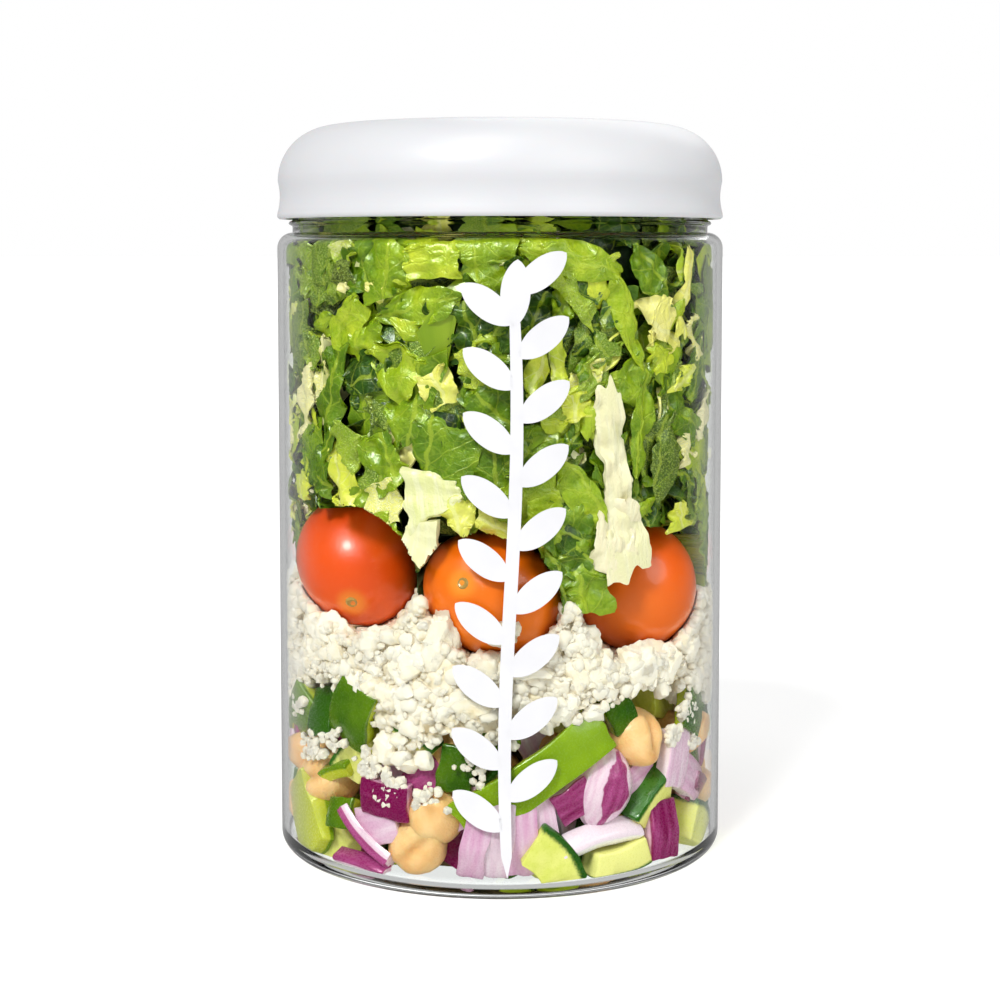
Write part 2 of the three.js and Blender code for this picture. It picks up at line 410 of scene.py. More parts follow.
def spun(outline, steps):
    """Spins an outline of (radius, height) points once round the jar's axis."""
    shape = new_shape()
    line = [shape.verts.new((radius, 0.0, height)) for radius, height in outline]
    edges = [shape.edges.new(pair) for pair in zip(line, line[1:])]
    bmesh.ops.spin(
        shape, geom=line + edges, cent=(0, 0, 0), axis=(0, 0, 1), dvec=(0, 0, 0),
        angle=2.0 * math.pi, steps=steps, use_merge=True, use_duplicate=False,
    )
    bmesh.ops.remove_doubles(shape, verts=shape.verts[:], dist=0.0005)
    grain, _ = notes(shape)
    for vert in shape.verts:
        vert[grain] = vert.co
    return shape


# %% Clear plastic
def clear_plastic():
    """Clear plastic. It lets lamp light straight through, as thin walls do, and it mirrors
    only where it is seen aslant, so that nothing veils the food."""
    finish = Finish("clear_plastic", (0.985, 0.995, 0.99), 0.02, Transmission_Weight=1.0, IOR=1.4)
    kinds = finish.node("LightPath")
    straight = finish.math("MAXIMUM", (kinds, "Is Shadow Ray"), (kinds, "Is Diffuse Ray"))
    aslant = finish.rise((finish.node("Fresnel", {"IOR": 1.4}), "Fac"), 0.04, 0.13)
    bent_light = finish.node("BsdfRefraction", {"Color": (0.985, 0.995, 0.99, 1.0), "IOR": 1.4})
    plastic = finish.node("MixShader", {0: aslant, 1: (bent_light, "BSDF"), 2: (finish.shader, "BSDF")})
    through = finish.node("BsdfTransparent", {"Color": (0.95, 0.96, 0.955, 1.0)})
    either = finish.node("MixShader", {0: straight, 1: (plastic, "Shader"), 2: (through, "BSDF")})
    output = finish.tree.nodes["Material Output"]
    finish.tree.links.new(either.outputs["Shader"], output.inputs["Surface"])
    return finish.material


# %% The jar's outline
BEAD_Z = 133.4
HEEL = 3.2
FOOT_R = 39.5
JAR_STEPS = 192
jar_outline = [(0.0, 1.0), (38.5, 1.0), (39.0, 0.45), (FOOT_R, 0.0), (JAR_R - HEEL, 0.0)]
jar_outline += arc(JAR_R - HEEL, HEEL, HEEL, HEEL, -78.0, 0.0, 7)
jar_outline += arc(SHOULDER_R, SHOULDER_Z, SHOULDER_ROUND, SHOULDER_ROUND, 0.0, 90.0, 9)
jar_outline += [(SHOULDER_R, BEAD_Z - 0.7)]
jar_outline += arc(SHOULDER_R, BEAD_Z, 0.8, 0.5, -75.0, 75.0, 6)
jar_outline += [(SHOULDER_R, BEAD_Z + 0.7), (SHOULDER_R, MOUTH_Z - 0.3)]
jar_outline += [(SHOULDER_R - 0.3, MOUTH_Z), (NECK_IN_R + 0.3, MOUTH_Z), (NECK_IN_R, MOUTH_Z - 0.3)]
jar_outline += [(NECK_IN_R, SHOULDER_Z + SHOULDER_ROUND - JAR_WALL + 0.4)]
inner_round = SHOULDER_ROUND - JAR_WALL
jar_outline += arc(SHOULDER_R, SHOULDER_Z, inner_round, inner_round, 90.0, 0.0, 7)
inner_corner = arc(
    WALL_IN_R - FLOOR_CORNER, FLOOR_Z + FLOOR_CORNER, FLOOR_CORNER, FLOOR_CORNER, 0.0, -90.0, 7
)
jar_outline += inner_corner
jar_outline += [(0.0, FLOOR_Z)]
jar_pile = Pile()
jar_pile.drop(as_form(spun(jar_outline, JAR_STEPS)), AS_IT_IS, 0.5)
jar_pile.piece("clear_jar", clear_plastic(), "clear_plastic", "jar")

# %% [markdown]
# ## The domed cap
#
# The cap is one white moulding: a low dome, a rounded edge, a shallow waist and a thin rim.
# It is spun in the same way, with its hollow underside and the ring that sits on the jar.

# %% White cap
def cap_white():
    """Satin white plastic with a trace of moulding grain."""
    finish = Finish(
        "cap_white", (0.9, 0.91, 0.93), 0.4,
        Subsurface_Weight=0.1, Subsurface_Scale=0.002, Coat_Weight=0.1, Coat_Roughness=0.2,
    )
    places = (finish.node("TexCoord"), "Object")
    cloud = finish.noise(places, 45.0, 2.0)
    colour = finish.ramp(cloud, (0.3, (0.585, 0.59, 0.61)), (0.7, (0.605, 0.61, 0.625)))
    grain = finish.noise(places, 2600.0, 1.0)
    return finish.wear(colour, finish.rise(cloud, 0.3, 0.7, 0.38, 0.44), grain, 0.00002, 0.35)


CAP_EDGE_Z = 142.3
CAP_EDGE_R = 35.5
CAP_SIDE_R = 47.24
CAP_WAIST_R = 46.74
CAP_RIM_R = 47.4
CAP_SHELL = 1.6
SKIRT_IN_R = 45.7
crown_z = 153.8
cap_outline = []
for step in range(7):
    radius = CAP_EDGE_R * step / 6
    cap_outline.append((radius, CAP_TOP_Z - (CAP_TOP_Z - crown_z) * (radius / CAP_EDGE_R) ** 2))
cap_outline += arc(
    CAP_EDGE_R, CAP_EDGE_Z, CAP_SIDE_R - CAP_EDGE_R, crown_z - CAP_EDGE_Z, 84.0, 0.0, 14
)
waist_steps = 6
for step in range(1, waist_steps + 1):
    share = step / waist_steps
    dip = math.sin(math.pi * share) * (CAP_SIDE_R - CAP_WAIST_R)
    side = CAP_SIDE_R + (CAP_RIM_R - CAP_SIDE_R) * share
    cap_outline.append((side - dip, CAP_EDGE_Z + (CAP_RIM_Z + 1.0 - CAP_EDGE_Z) * share))
cap_outline += [(CAP_RIM_R, CAP_RIM_Z + 0.4), (CAP_RIM_R - 0.4, CAP_RIM_Z)]
cap_outline += [(SKIRT_IN_R, CAP_RIM_Z), (SKIRT_IN_R, MOUTH_Z + 0.3), (NECK_IN_R, MOUTH_Z + 0.3)]
cap_outline += arc(
    CAP_EDGE_R, CAP_EDGE_Z, CAP_SIDE_R - CAP_EDGE_R - CAP_SHELL,
    crown_z - CAP_EDGE_Z - CAP_SHELL, 42.0, 90.0, 8,
)
cap_outline += [(0.0, CAP_TOP_Z - CAP_SHELL)]
cap_pile = Pile()
cap_pile.drop(as_form(spun(cap_outline, JAR_STEPS)), AS_IT_IS, 0.5)
cap_pile.piece("white_cap", cap_white(), "cap_plastic", "cap")

# %% [markdown]
# ## The white print
#
# The jar carries a tall white print in ink. Here it is a plain leaf sprig: a stem with a leaf
# to each side in turn. Ink has next to no thickness, so each part is a fine grid that is laid
# on the jar's curve and thickened by a few hundredths of a millimetre.

# %% Leaf sprig
INK_THICK = 0.03
PRINT_BEARING = 270.0 + 2.5


def ink_shape(length, width, roundness, middle, turn, sway):
    """A strip of ink along y that narrows to both ends by its roundness."""
    shape = new_shape()
    bmesh.ops.create_grid(shape, x_segments=6, y_segments=26, size=1.0)
    grain, _ = notes(shape)
    turned = Matrix.Rotation(math.radians(turn), 4, "Z")
    for vert in shape.verts:
        along = vert.co.y
        narrow = (1.0 - abs(along) ** 2.2) ** roundness * 0.98 + 0.02
        x = vert.co.x * width / 2 * narrow + sway * math.sin(2.6 * along)
        placed = turned @ Vector((x, along * length / 2, 0.0)) + Vector((*middle, 0.0))
        vert[grain] = placed
        angle = math.radians(PRINT_BEARING) + placed.x / JAR_R
        vert.co = (JAR_R * math.cos(angle), JAR_R * math.sin(angle), placed.y)
    bmesh.ops.recalc_face_normals(shape, faces=shape.faces[:])
    bmesh.ops.solidify(shape, geom=shape.faces[:], thickness=INK_THICK)
    for vert in shape.verts:
        radius = math.hypot(vert.co.x, vert.co.y)
        inside = JAR_R + (0.005 if radius < JAR_R + INK_THICK / 2 else INK_THICK + 0.005)
        vert.co.x *= inside / radius
        vert.co.y *= inside / radius
    return shape


print_pile = Pile()
SPRIG_LOW = 5.0
SPRIG_HIGH = 126.0
stem_length = SPRIG_HIGH - SPRIG_LOW - 8.0
stem_middle = (0.0, SPRIG_LOW + stem_length / 2)
print_pile.drop(
    as_form(ink_shape(stem_length, 2.6, 0.12, stem_middle, 0.0, 1.2)), AS_IT_IS, 0.5
)
LEAF_PAIRS = 9
for step in range(LEAF_PAIRS):
    height = SPRIG_LOW + 13.0 + step * (stem_length - 14.0) / (LEAF_PAIRS - 1)
    for side in (-1, 1):
        lift = height + side * 3.0
        sway = 1.2 * math.sin(2.6 * (lift - stem_middle[1]) / (stem_length / 2))
        middle = (sway + side * 5.4, lift + 3.4)
        blade = ink_shape(12.5, 5.6, 0.75, middle, -side * 52.0, 0.0)
        print_pile.drop(as_form(blade), AS_IT_IS, 0.5)
top_blade = ink_shape(13.0, 5.8, 0.75, (0.9, SPRIG_HIGH - 6.5), -4.0, 0.0)
print_pile.drop(as_form(top_blade), AS_IT_IS, 0.5)


def print_ink():
    """Thick white screen ink with a faint unevenness."""
    finish = Finish("print_ink", (0.93, 0.93, 0.945), 0.5)
    places = (finish.node("TexCoord"), "Object")
    cloud = finish.noise(places, 160.0, 2.0)
    colour = finish.ramp(cloud, (0.3, (0.67, 0.67, 0.69)), (0.7, (0.7, 0.7, 0.72)))
    return finish.wear(colour, finish.rise(cloud, 0.3, 0.7, 0.45, 0.55))


print_pile.piece("leaf_print", print_ink(), "print_ink", "jar")

# %% [markdown]
# ## Small tomatoes
#
# Six small oval tomatoes lie in a ring against the wall. Each is a ball stretched to the
# tomato's three half sizes. The stem left a small round scar in a shallow dimple. A thin glossy
# skin with pale flecks covers flesh that goes from orange to red.

# %% Tomato sizes
# A row gives three half sizes in millimetres, the lean in degrees, where the scar is and a tone.
TOMATO_ROWS = (
    (14.7, 12.2, 12.6, -45.0, (0.72, -0.5, 0.45), 0.42),
    (14.3, 12.3, 12.6, -30.0, (-0.42, 0.3, 0.86), 0.85),
    (13.6, 12.7, 12.4, 80.0, (0.2, 0.95, 0.1), 0.5),
    (14.4, 12.3, 12.5, 20.0, (-0.8, 0.2, 0.5), 0.3),
    (13.8, 12.5, 12.4, -60.0, (0.4, -0.7, 0.6), 0.7),
    (14.2, 12.1, 12.3, 35.0, (0.1, 0.5, 0.86), 0.4),
)
TOMATO_SIZES = ("long", "short", "deep", "lean", "scar", "tone")
TOMATOES = {
    f"tomato_{number}": dict(zip(TOMATO_SIZES, row)) for number, row in enumerate(TOMATO_ROWS, 1)
}
tomato_places = {}
for tomato, sizes in TOMATOES.items():
    low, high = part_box(tomato)
    middle = (low + high) / 2 / MM
    bearing = math.degrees(math.atan2(middle.y, middle.x))
    inward = WALL_IN_R - math.hypot(middle.x, middle.y)
    tomato_places[tomato] = at_wall(bearing, middle.z, inward)
TOMATO_BLOCKS = []
for tomato, sizes in TOMATOES.items():
    turned = tomato_places[tomato] @ Matrix.Rotation(math.radians(sizes["lean"]), 4, "Z")
    stretched = turned @ Matrix.Diagonal((sizes["long"], sizes["short"], sizes["deep"], 1.0))
    TOMATO_BLOCKS.append((stretched.inverted(), stretched))


def tomato_reach(point):
    """How far a point is from the nearest tomato's middle, where 1 is its skin."""
    return min((inverse @ point).length for inverse, _ in TOMATO_BLOCKS)


TOMATO_R = 12.5
BACKWARDS = Vector((0.0, 1.0, 0.0))


def way_behind(point, share=1.0):
    """How far back a point has to go to lie behind the front tomato it hides, or 0."""
    for inverse, _ in TOMATO_BLOCKS[:3]:
        start = inverse @ point
        step = inverse.to_3x3() @ BACKWARDS
        along = start.dot(step) / step.length_squared
        inside = along * along - (start.length_squared - share * share) / step.length_squared
        if inside > 0.0 and math.sqrt(inside) > along:
            return math.sqrt(inside) - along
    return 0.0


def hides_tomato(point, share=0.97):
    """True for a place between a tomato and the wall, or before a front tomato."""
    for inverse, _ in TOMATO_BLOCKS:
        local = inverse @ point
        if math.hypot(local.x, local.y) < share and local.z > -0.3:
            return True
    return way_behind(point, share) > 0.0


def tomato_ball(sizes):
    """A stretched ball with a dimpled stem scar. The grain runs out from the scar."""
    shape = new_shape()
    bmesh.ops.create_uvsphere(shape, u_segments=72, v_segments=44, radius=1.0)
    grain, rind = notes(shape)
    lean = Matrix.Rotation(math.radians(sizes["lean"]), 4, "Z")
    stretch = lean @ Matrix.Diagonal((sizes["long"], sizes["short"], sizes["deep"], 1.0))
    aim = Vector(sizes["scar"]).normalized()
    local = stretch.inverted() @ (aim * 20.0)
    scar = stretch @ local.normalized()
    for vert in shape.verts:
        swell = 1.0 + 0.008 * noise.noise(vert.co * 1.6 + aim * 9.0)
        spot = stretch @ (vert.co * swell)
        gap = (spot - scar).length
        vert[grain] = spot - scar
        vert[rind] = 0.0
        vert.co = spot - aim * 0.45 * math.exp(-(gap / 2.2) ** 2)
    ring = bmesh.ops.create_circle(shape, segments=20, radius=0.95)["verts"]
    ring_edges = [edge for edge in shape.edges if edge.verts[0] in ring and edge.verts[1] in ring]
    facing = aim.to_track_quat("Z", "Y").to_matrix().to_4x4()
    outer = bmesh.ops.extrude_edge_only(shape, edges=ring_edges)["geom"]
    outer_verts = [item for item in outer if isinstance(item, bmesh.types.BMVert)]
    outer_edges = [item for item in outer if isinstance(item, bmesh.types.BMEdge)]
    for vert in outer_verts:
        vert.co = Vector((vert.co.x * 1.5, vert.co.y * 1.5, -0.3))
    for vert in ring:
        vert.co.z = 0.14 + 0.05 * math.sin(9.0 * math.atan2(vert.co.y, vert.co.x))
    inner = bmesh.ops.extrude_edge_only(shape, edges=ring_edges)["geom"]
    inner_verts = [item for item in inner if isinstance(item, bmesh.types.BMVert)]
    for vert in inner_verts:
        vert.co = Vector((vert.co.x * 0.45, vert.co.y * 0.45, -0.12))
    bmesh.ops.contextual_create(
        shape, geom=[item for item in inner if isinstance(item, bmesh.types.BMEdge)
                     and item.verts[0] in inner_verts and item.verts[1] in inner_verts]
    )
    seat = scar - aim * 0.33
    for vert in ring + outer_verts + inner_verts:
        vert[grain] = vert.co
        vert[rind] = 1.0
        vert.co = seat + facing @ vert.co
    return shape


# %% Tomato skin
def tomato_skin():
    """Thin glossy skin: orange to red, with pale flecks and a brown scar."""
    finish = Finish(
        "tomato_skin", (0.85, 0.12, 0.01), 0.3, Coat_Weight=0.5, Coat_Roughness=0.05,
    )
    grain = finish.note("grain")
    tone = finish.note("tone")
    places = (finish.node("TexCoord"), "Object")
    cloud = finish.noise(places, 38.0, 2.0)
    height = (finish.node("SeparateXYZ", {0: grain}), "Y")
    lean = finish.math("MULTIPLY", height, -0.012)
    blend = finish.math("ADD", finish.math("ADD", tone, lean), finish.math("MULTIPLY", cloud, 0.5))
    blend = finish.math("SUBTRACT", blend, 0.25)
    flesh = finish.ramp(
        blend, (0.0, (0.72, 0.03, 0.001)), (0.35, (0.8, 0.08, 0.001)),
        (0.65, (0.84, 0.13, 0.001)), (1.0, (0.95, 0.2, 0.001)),
    )
    flecks = finish.node("TexVoronoi", {"Vector": grain, "Scale": 1.25})
    fleck = finish.rise((flecks, "Distance"), 0.06, 0.16, 0.3, 0.0)
    flecked = finish.mix(fleck, flesh, (0.95, 0.42, 0.12))
    reach = (finish.node("VectorMath", {0: grain}, operation="LENGTH"), "Value")
    halo = finish.rise(reach, 1.2, 4.2, 0.5, 0.0)
    pale = finish.mix(halo, flecked, (0.93, 0.36, 0.03))
    scar = finish.note("rind")
    colour = finish.mix(scar, pale, (0.42, 0.26, 0.06))
    return finish.wear(
        colour, finish.rise(cloud, 0.3, 0.7, 0.3, 0.4), finish.noise(grain, 1.6, 2.0), 0.00012, 0.25
    )


skin = tomato_skin()
for tomato, sizes in TOMATOES.items():
    tomato_pile = Pile()
    tomato_pile.drop(as_form(tomato_ball(sizes)), tomato_places[tomato], sizes["tone"])
    tomato_pile.piece(tomato + "_fruit", skin, "tomato", tomato)

# %% [markdown]
# ## Keeping food inside the glass
#
# A soft leaf that meets the wall is pressed flat on it. The settling step below does that
# for single points: out of a tomato first, then in from the wall, the floor and the dome.

# %% Settling points
def settler(gap, clear=0.3, tuck=False, buckle=0.0):
    """Makes a rule that keeps points clear of tomatoes and a gap away from the jar.
    With tuck, a point in front of a tomato goes behind it. With buckle, what the wall
    presses on folds back by that share."""
    spare = 1.0 + clear / TOMATO_R
    def settle(point):
        if tuck:
            point = point + BACKWARDS * way_behind(point)
        for inverse, stretched in TOMATO_BLOCKS:
            local = inverse @ point
            flat = math.hypot(local.x, local.y)
            if tuck and flat < spare and local.z > -1.5:
                point = stretched @ Vector((local.x, local.y, -math.sqrt(spare * spare - flat * flat)))
            elif 1e-6 < local.length < spare:
                point = stretched @ (local * (spare / local.length))
        height = min(max(point.z, FLOOR_Z + 0.15), FOOD_TOP_Z)
        limit = wall_radius(height) - gap
        radius = math.hypot(point.x, point.y)
        shrink = min(1.0, (limit - buckle * max(0.0, radius - limit)) / max(radius, 1e-6))
        return Vector((point.x * shrink, point.y * shrink, height))
    return settle


# Places are spread evenly: each is one turn step and one height step on, and no two line up.
TURN_STEP = 271.756
HEIGHT_STEP = 0.56984


def turned_to(index, start=0.0):
    """The bearing of a place in the spread."""
    return (index * TURN_STEP + start) % 360.0


def spread(index, low, high):
    """The height of a place in the spread, from low to high."""
    return low + (high - low) * ((index * HEIGHT_STEP) % 1.0)

# %% [markdown]
# ## Chopped lettuce
#
# The lettuce is cut romaine and small leaves: flat and folded pieces of one to two centimetres
# with cut edges, midribs and thin veins, deep green to lime, with yellow heart pieces and pale
# ribs between them. A leaf starts as a flat grid. Its outline, folds, curl and blisters are
# moves of the grid's points, so each piece is different, and then it gets its thickness.

# %% Leaf outlines
def outline_width(kind, along):
    """Half of a leaf piece's width at a place from -1 to 1 along it, as a share."""
    if kind == "point":
        return 0.06 + 0.98 * min(1.0, ((1.0 - along) / 2) ** 0.6 * 1.2)
    if kind == "oval":
        return 0.08 + 0.95 * math.sqrt(max(0.0, 1.0 - along ** 2))
    if kind == "lance":
        return 0.06 + 0.96 * (1.0 - abs(along) ** 1.7) ** 0.85
    if kind == "flare":
        return 0.5 + 0.5 * between(-0.2, -0.9, along)
    return 1.0 - 0.1 * along ** 2


def bent(y, z, start, soft, bend):
    """Bends a strip from start on, over a soft stretch, by an angle in radians."""
    if y <= start or abs(bend) < 1e-4:
        return y, z
    curve = bend / soft
    run = min(y - start, soft)
    angle = curve * run
    rest = y - start - run
    lift = math.sin(angle)
    level = math.cos(angle)
    y_bent = start + lift / curve + rest * level - z * lift
    z_bent = (1.0 - level) / curve + rest * lift + z * level
    return y_bent, z_bent


# %% One leaf piece
def leaf(kind, length, width, rng, bend=0.3, crease=None, curl=0.0, fold=0.15, twist=0.0,
         ruffle=0.5, blister=0.35, thick=0.42, steps=(8, 11), under=0.0, cut=1.0):
    """A cut piece of leaf, its face to +z and its midrib along y. cut makes its outline ragged."""
    shape = new_shape()
    bmesh.ops.create_grid(shape, x_segments=steps[0], y_segments=steps[1], size=1.0)
    grain, rind = notes(shape)
    seed = rng.random() * 500.0
    slant = rng.uniform(-0.55, 0.55) * cut
    shift = rng.uniform(-0.3, 0.3) * width
    waves = rng.uniform(3.0, 7.0)
    start = -length / 2 if crease is None else (crease - 0.5) * length
    soft = length if crease is None else 2.2
    level = Matrix.Rotation(-bend / 2, 3, "X") if crease is None else Matrix.Identity(3)
    for vert in shape.verts:
        across, along = vert.co.x, vert.co.y
        edge = 1.0 + 0.16 * cut * bumps(seed, along * 2.4, across)
        edge += 0.05 * bumps(seed, along * 11.0, across * 2.0)
        x = across * width / 2 * outline_width(kind, along) * edge
        y = along * length / 2 + slant * x * along
        y += 0.1 * length * abs(along) * bumps(across * 1.6, seed, along)
        vert[grain] = (x + shift, y, seed)
        vert[rind] = under
        z = -fold * abs(x + shift * 0.5)
        z += blister * bumps(x * 0.28, y * 0.28, seed)
        z += 0.45 * blister * bumps(x * 0.75, y * 0.75, seed)
        z -= 1.5 * blister * abs(bumps(x * 0.14, y * 0.14, seed + 40.0))
        z += ruffle * abs(across) ** 2.2 * math.sin(waves * along + across + seed)
        if abs(curl) > 1e-3:
            radius = width / curl
            turn = x / radius
            x, z = (radius + z) * math.sin(turn), (radius + z) * math.cos(turn) - radius
        angle = twist * along
        x, z = x * math.cos(angle) - z * math.sin(angle), x * math.sin(angle) + z * math.cos(angle)
        y, z = bent(y, z, start, soft, bend)
        vert.co = level @ Vector((x, y, z))
    middle = sum((vert.co for vert in shape.verts), Vector()) / len(shape.verts)
    bmesh.ops.translate(shape, verts=shape.verts[:], vec=-middle)
    bmesh.ops.solidify(shape, geom=shape.faces[:], thickness=thick)
    return shape


# %% Leaf finishes
def leaf_finish(name, stops, vein_colour, vein_share, under_colour, roughness, ribbed=0.0):
    """Leaf flesh: the tone picks the colour, and veins follow the flat leaf."""
    finish = Finish(name, stops[1][1], roughness, Coat_Weight=0.3, Coat_Roughness=0.22)
    grain = finish.note("grain")
    tone = finish.note("tone")
    parts = finish.node("SeparateXYZ", {0: grain})
    patches = finish.noise(grain, 0.22, 3.0)
    aside = finish.math("ABSOLUTE", finish.math("ADD", (parts, "X"), finish.sway(patches, 3.0)))
    speckle = finish.noise(grain, 1.9, 3.0)
    shade = finish.math("ADD", tone, finish.sway(patches, 0.55))
    shade = finish.math("ADD", shade, finish.sway(speckle, 0.22))
    flesh = finish.ramp(shade, *stops)
    slanted = finish.math("SUBTRACT", (parts, "Y"), finish.math("MULTIPLY", aside, 0.9))
    wave = finish.math("PINGPONG", finish.math("ADD", slanted, patches), 2.9)
    side_vein = finish.rise(wave, 0.05, 0.3, 0.75, 0.0)
    rib = finish.rise(aside, 0.22, 0.5, 1.0, 0.0)
    net = finish.node("TexVoronoi", {"Vector": grain, "Scale": 0.42}, feature="DISTANCE_TO_EDGE")
    net_vein = finish.rise((net, "Distance"), 0.015, 0.07, 0.3, 0.0)
    veins = finish.math("MAXIMUM", finish.math("MAXIMUM", side_vein, rib), net_vein)
    if ribbed:
        drawn = finish.node("VectorMath", {0: grain, 1: (ribbed, 0.1, 1.0)}, operation="MULTIPLY")
        veins = finish.rise(finish.noise((drawn, "Vector"), 1.0, 3.0), 0.42, 0.68)
    veined = finish.mix(finish.math("MULTIPLY", veins, vein_share), flesh, vein_colour)
    cells = finish.node("TexVoronoi", {"Vector": grain, "Scale": 2.6})
    pale = finish.rise((cells, "Distance"), 0.2, 0.6, 0.75, 0.15)
    under = finish.math("MULTIPLY", finish.note("rind"), pale)
    colour = finish.mix(under, veined, under_colour)
    relief = finish.math("ADD", finish.math("MULTIPLY", veins, -0.5), finish.math("MULTIPLY", speckle, 0.8))
    relief = finish.math("ADD", relief, under)
    rough = finish.rise(speckle, 0.3, 0.7, roughness - 0.08, roughness + 0.1)
    return finish.wear(colour, rough, relief, 0.00035, 0.55)


LEAF_STOPS = (
    (0.0, (0.004, 0.018, 0.001)), (0.25, (0.025, 0.08, 0.001)), (0.5, (0.11, 0.22, 0.002)),
    (0.72, (0.29, 0.42, 0.004)), (1.0, (0.64, 0.7, 0.035)),
)
HEART_STOPS = (
    (0.0, (0.42, 0.58, 0.02)), (0.3, (0.66, 0.7, 0.05)), (0.6, (0.82, 0.77, 0.17)),
    (1.0, (0.85, 0.76, 0.4)),
)
RIB_STOPS = ((0.0, (0.66, 0.7, 0.2)), (0.5, (0.82, 0.8, 0.42)), (1.0, (0.88, 0.78, 0.52)))
leaf_green = leaf_finish("leaf_green", LEAF_STOPS, (0.44, 0.54, 0.03), 0.5, (0.36, 0.46, 0.07), 0.36)
heart_yellow = leaf_finish("heart_yellow", HEART_STOPS, (0.8, 0.8, 0.4), 0.4, (0.8, 0.8, 0.45), 0.4)
rib_cream = leaf_finish("rib_cream", RIB_STOPS, (0.88, 0.85, 0.62), 0.45, (0.85, 0.8, 0.6), 0.36, 1.1)

# %% [markdown]
# ## A dark core of painted shade inside each heap
#
# Nobody sees the middle of a heap, only darkness between the outer pieces. A dented column
# fills it, well behind the wall, and its dark colours are painted shade for that darkness.

# %% Core columns
def core_column(radius, low, high, rows, steps, dents):
    """A dented column between two heights, each a function of the bearing in degrees."""
    shape = new_shape()
    bmesh.ops.create_cone(
        shape, cap_ends=True, cap_tris=False, segments=steps, radius1=radius, radius2=radius, depth=1.0
    )
    upright = [edge for edge in shape.edges if abs(edge.verts[0].co.z - edge.verts[1].co.z) > 0.5]
    bmesh.ops.subdivide_edges(shape, edges=upright, cuts=rows, use_grid_fill=True)
    grain, _ = notes(shape)
    for vert in shape.verts:
        bearing = math.degrees(math.atan2(vert.co.y, vert.co.x))
        share = vert.co.z + 0.5
        height = low(bearing) + (high(bearing) - low(bearing)) * share
        spot = Vector((vert.co.x, vert.co.y, height))
        vert[grain] = spot
        push = dents(spot) / radius
        vert.co = Vector((spot.x * (1.0 + push), spot.y * (1.0 + push), height))
    return shape


def painted_shade_finish(name, dark, light, scale):
    """Painted shade: dim mottled colours that stand for the shadow deep between the pieces."""
    finish = Finish(name, dark, 0.7)
    grain = finish.note("grain")
    cloud = finish.noise(grain, scale, 4.0)
    colour = finish.ramp(cloud, (0.35, dark), (0.65, light))
    return finish.wear(colour, finish.rise(cloud, 0.3, 0.7, 0.6, 0.8), cloud, 0.001, 0.6)


def green_dents(spot):
    return 2.2 * noise.noise(spot * 0.16) + 0.8 * noise.noise(spot * 0.5)


CORE_LOW_Z = 56.0
CORE_HIGH_Z = 144.0
lettuce_shade_core = Pile()
lettuce_shade_core.drop(
    as_form(core_column(37.0, lambda b: CORE_LOW_Z, lambda b: CORE_HIGH_Z, 40, 120, green_dents)),
    AS_IT_IS, 0.1, settler(0.4, tuck=True),
)
# Painted shade: these near-black greens stand for the shadow between the leaves.
painted_shade_green = painted_shade_finish("painted_shade_green", (0.008, 0.03, 0.004), (0.035, 0.1, 0.012), 0.25)
lettuce_shade_core.piece("lettuce_shade_core", painted_shade_green, "lettuce", "lettuce")

# %% Leaves behind: layers from the core outwards
FRONT_FROM = 209.0
FRONT_TO = 331.0
LEAVES_LOW_Z = 62.0
LEAVES_HIGH_Z = 141.0


def near_front(bearing):
    """True where the hand-placed front pieces show."""
    return FRONT_FROM < bearing % 360.0 < FRONT_TO


KINDS = ("square", "square", "point", "oval", "lance", "flare")


def scatter(pile, count, rng, depths, tones, sizes, skip_front=False, kinds=KINDS, **style):
    """Spreads leaf pieces evenly round the jar, turned any way, between two depths."""
    dropped = 0
    index = 0
    while dropped < count:
        index += 1
        bearing = turned_to(index)
        height = spread(index, LEAVES_LOW_Z, LEAVES_HIGH_Z) + rng.uniform(-1.5, 1.5)
        depth = rng.uniform(*depths)
        place = at_wall(
            bearing, height, depth, rng.uniform(0, 360), rng.uniform(-28, 28), rng.uniform(-28, 28)
        )
        if skip_front and near_front(bearing):
            continue
        spot = place.to_translation()
        if tomato_reach(spot) < 1.3 or hides_tomato(spot, 1.2):
            continue
        length = rng.uniform(*sizes)
        width = length * rng.uniform(0.45, 0.85)
        crease = rng.choice((None, None, rng.uniform(0.3, 0.7)))
        reach = 0.9 if crease else 1.1
        shape = leaf(
            rng.choice(kinds), length, width, rng, bend=rng.uniform(-reach, reach), crease=crease,
            curl=rng.uniform(-0.9, 0.6), fold=rng.uniform(-0.1, 0.45), twist=rng.uniform(-0.4, 0.4),
            under=rng.choice((0.0, 0.0, 1.0)), **style,
        )
        gap = min(0.3 + 0.25 * depth + rng.uniform(0.0, 0.8), 6.0)
        pile.drop(as_form(shape), place, rng.uniform(*tones), settler(gap, tuck=True, buckle=0.3))
        dropped += 1


rng = random.Random(11)
# The deeper the layer, the darker its tones: partly the leaves' own spread of greens, partly painted shade
# for the depth.
inner_leaves = Pile()
scatter(inner_leaves, 170, rng, (8.0, 11.5), (0.0, 0.25), (14.0, 22.0), steps=(6, 8))
inner_leaves.piece("leaves_inner", leaf_green, "lettuce", "lettuce")
middle_leaves = Pile()
scatter(middle_leaves, 330, rng, (2.6, 7.5), (0.04, 0.62), (9.0, 17.0), steps=(7, 10), blister=1.0)
middle_leaves.piece("leaves_middle", leaf_green, "lettuce", "lettuce")
outer_leaves = Pile()
scatter(
    outer_leaves, 150, rng, (0.7, 3.6), (0.3, 0.85), (11.0, 20.0), skip_front=True, ruffle=0.9, blister=0.9
)
outer_leaves.piece("leaves_outer", leaf_green, "lettuce", "lettuce")
heart_bits = Pile()
FRILLS = {"kinds": ("oval", "square", "flare"), "steps": (11, 14), "ruffle": 1.5, "blister": 1.0, "cut": 0.4}
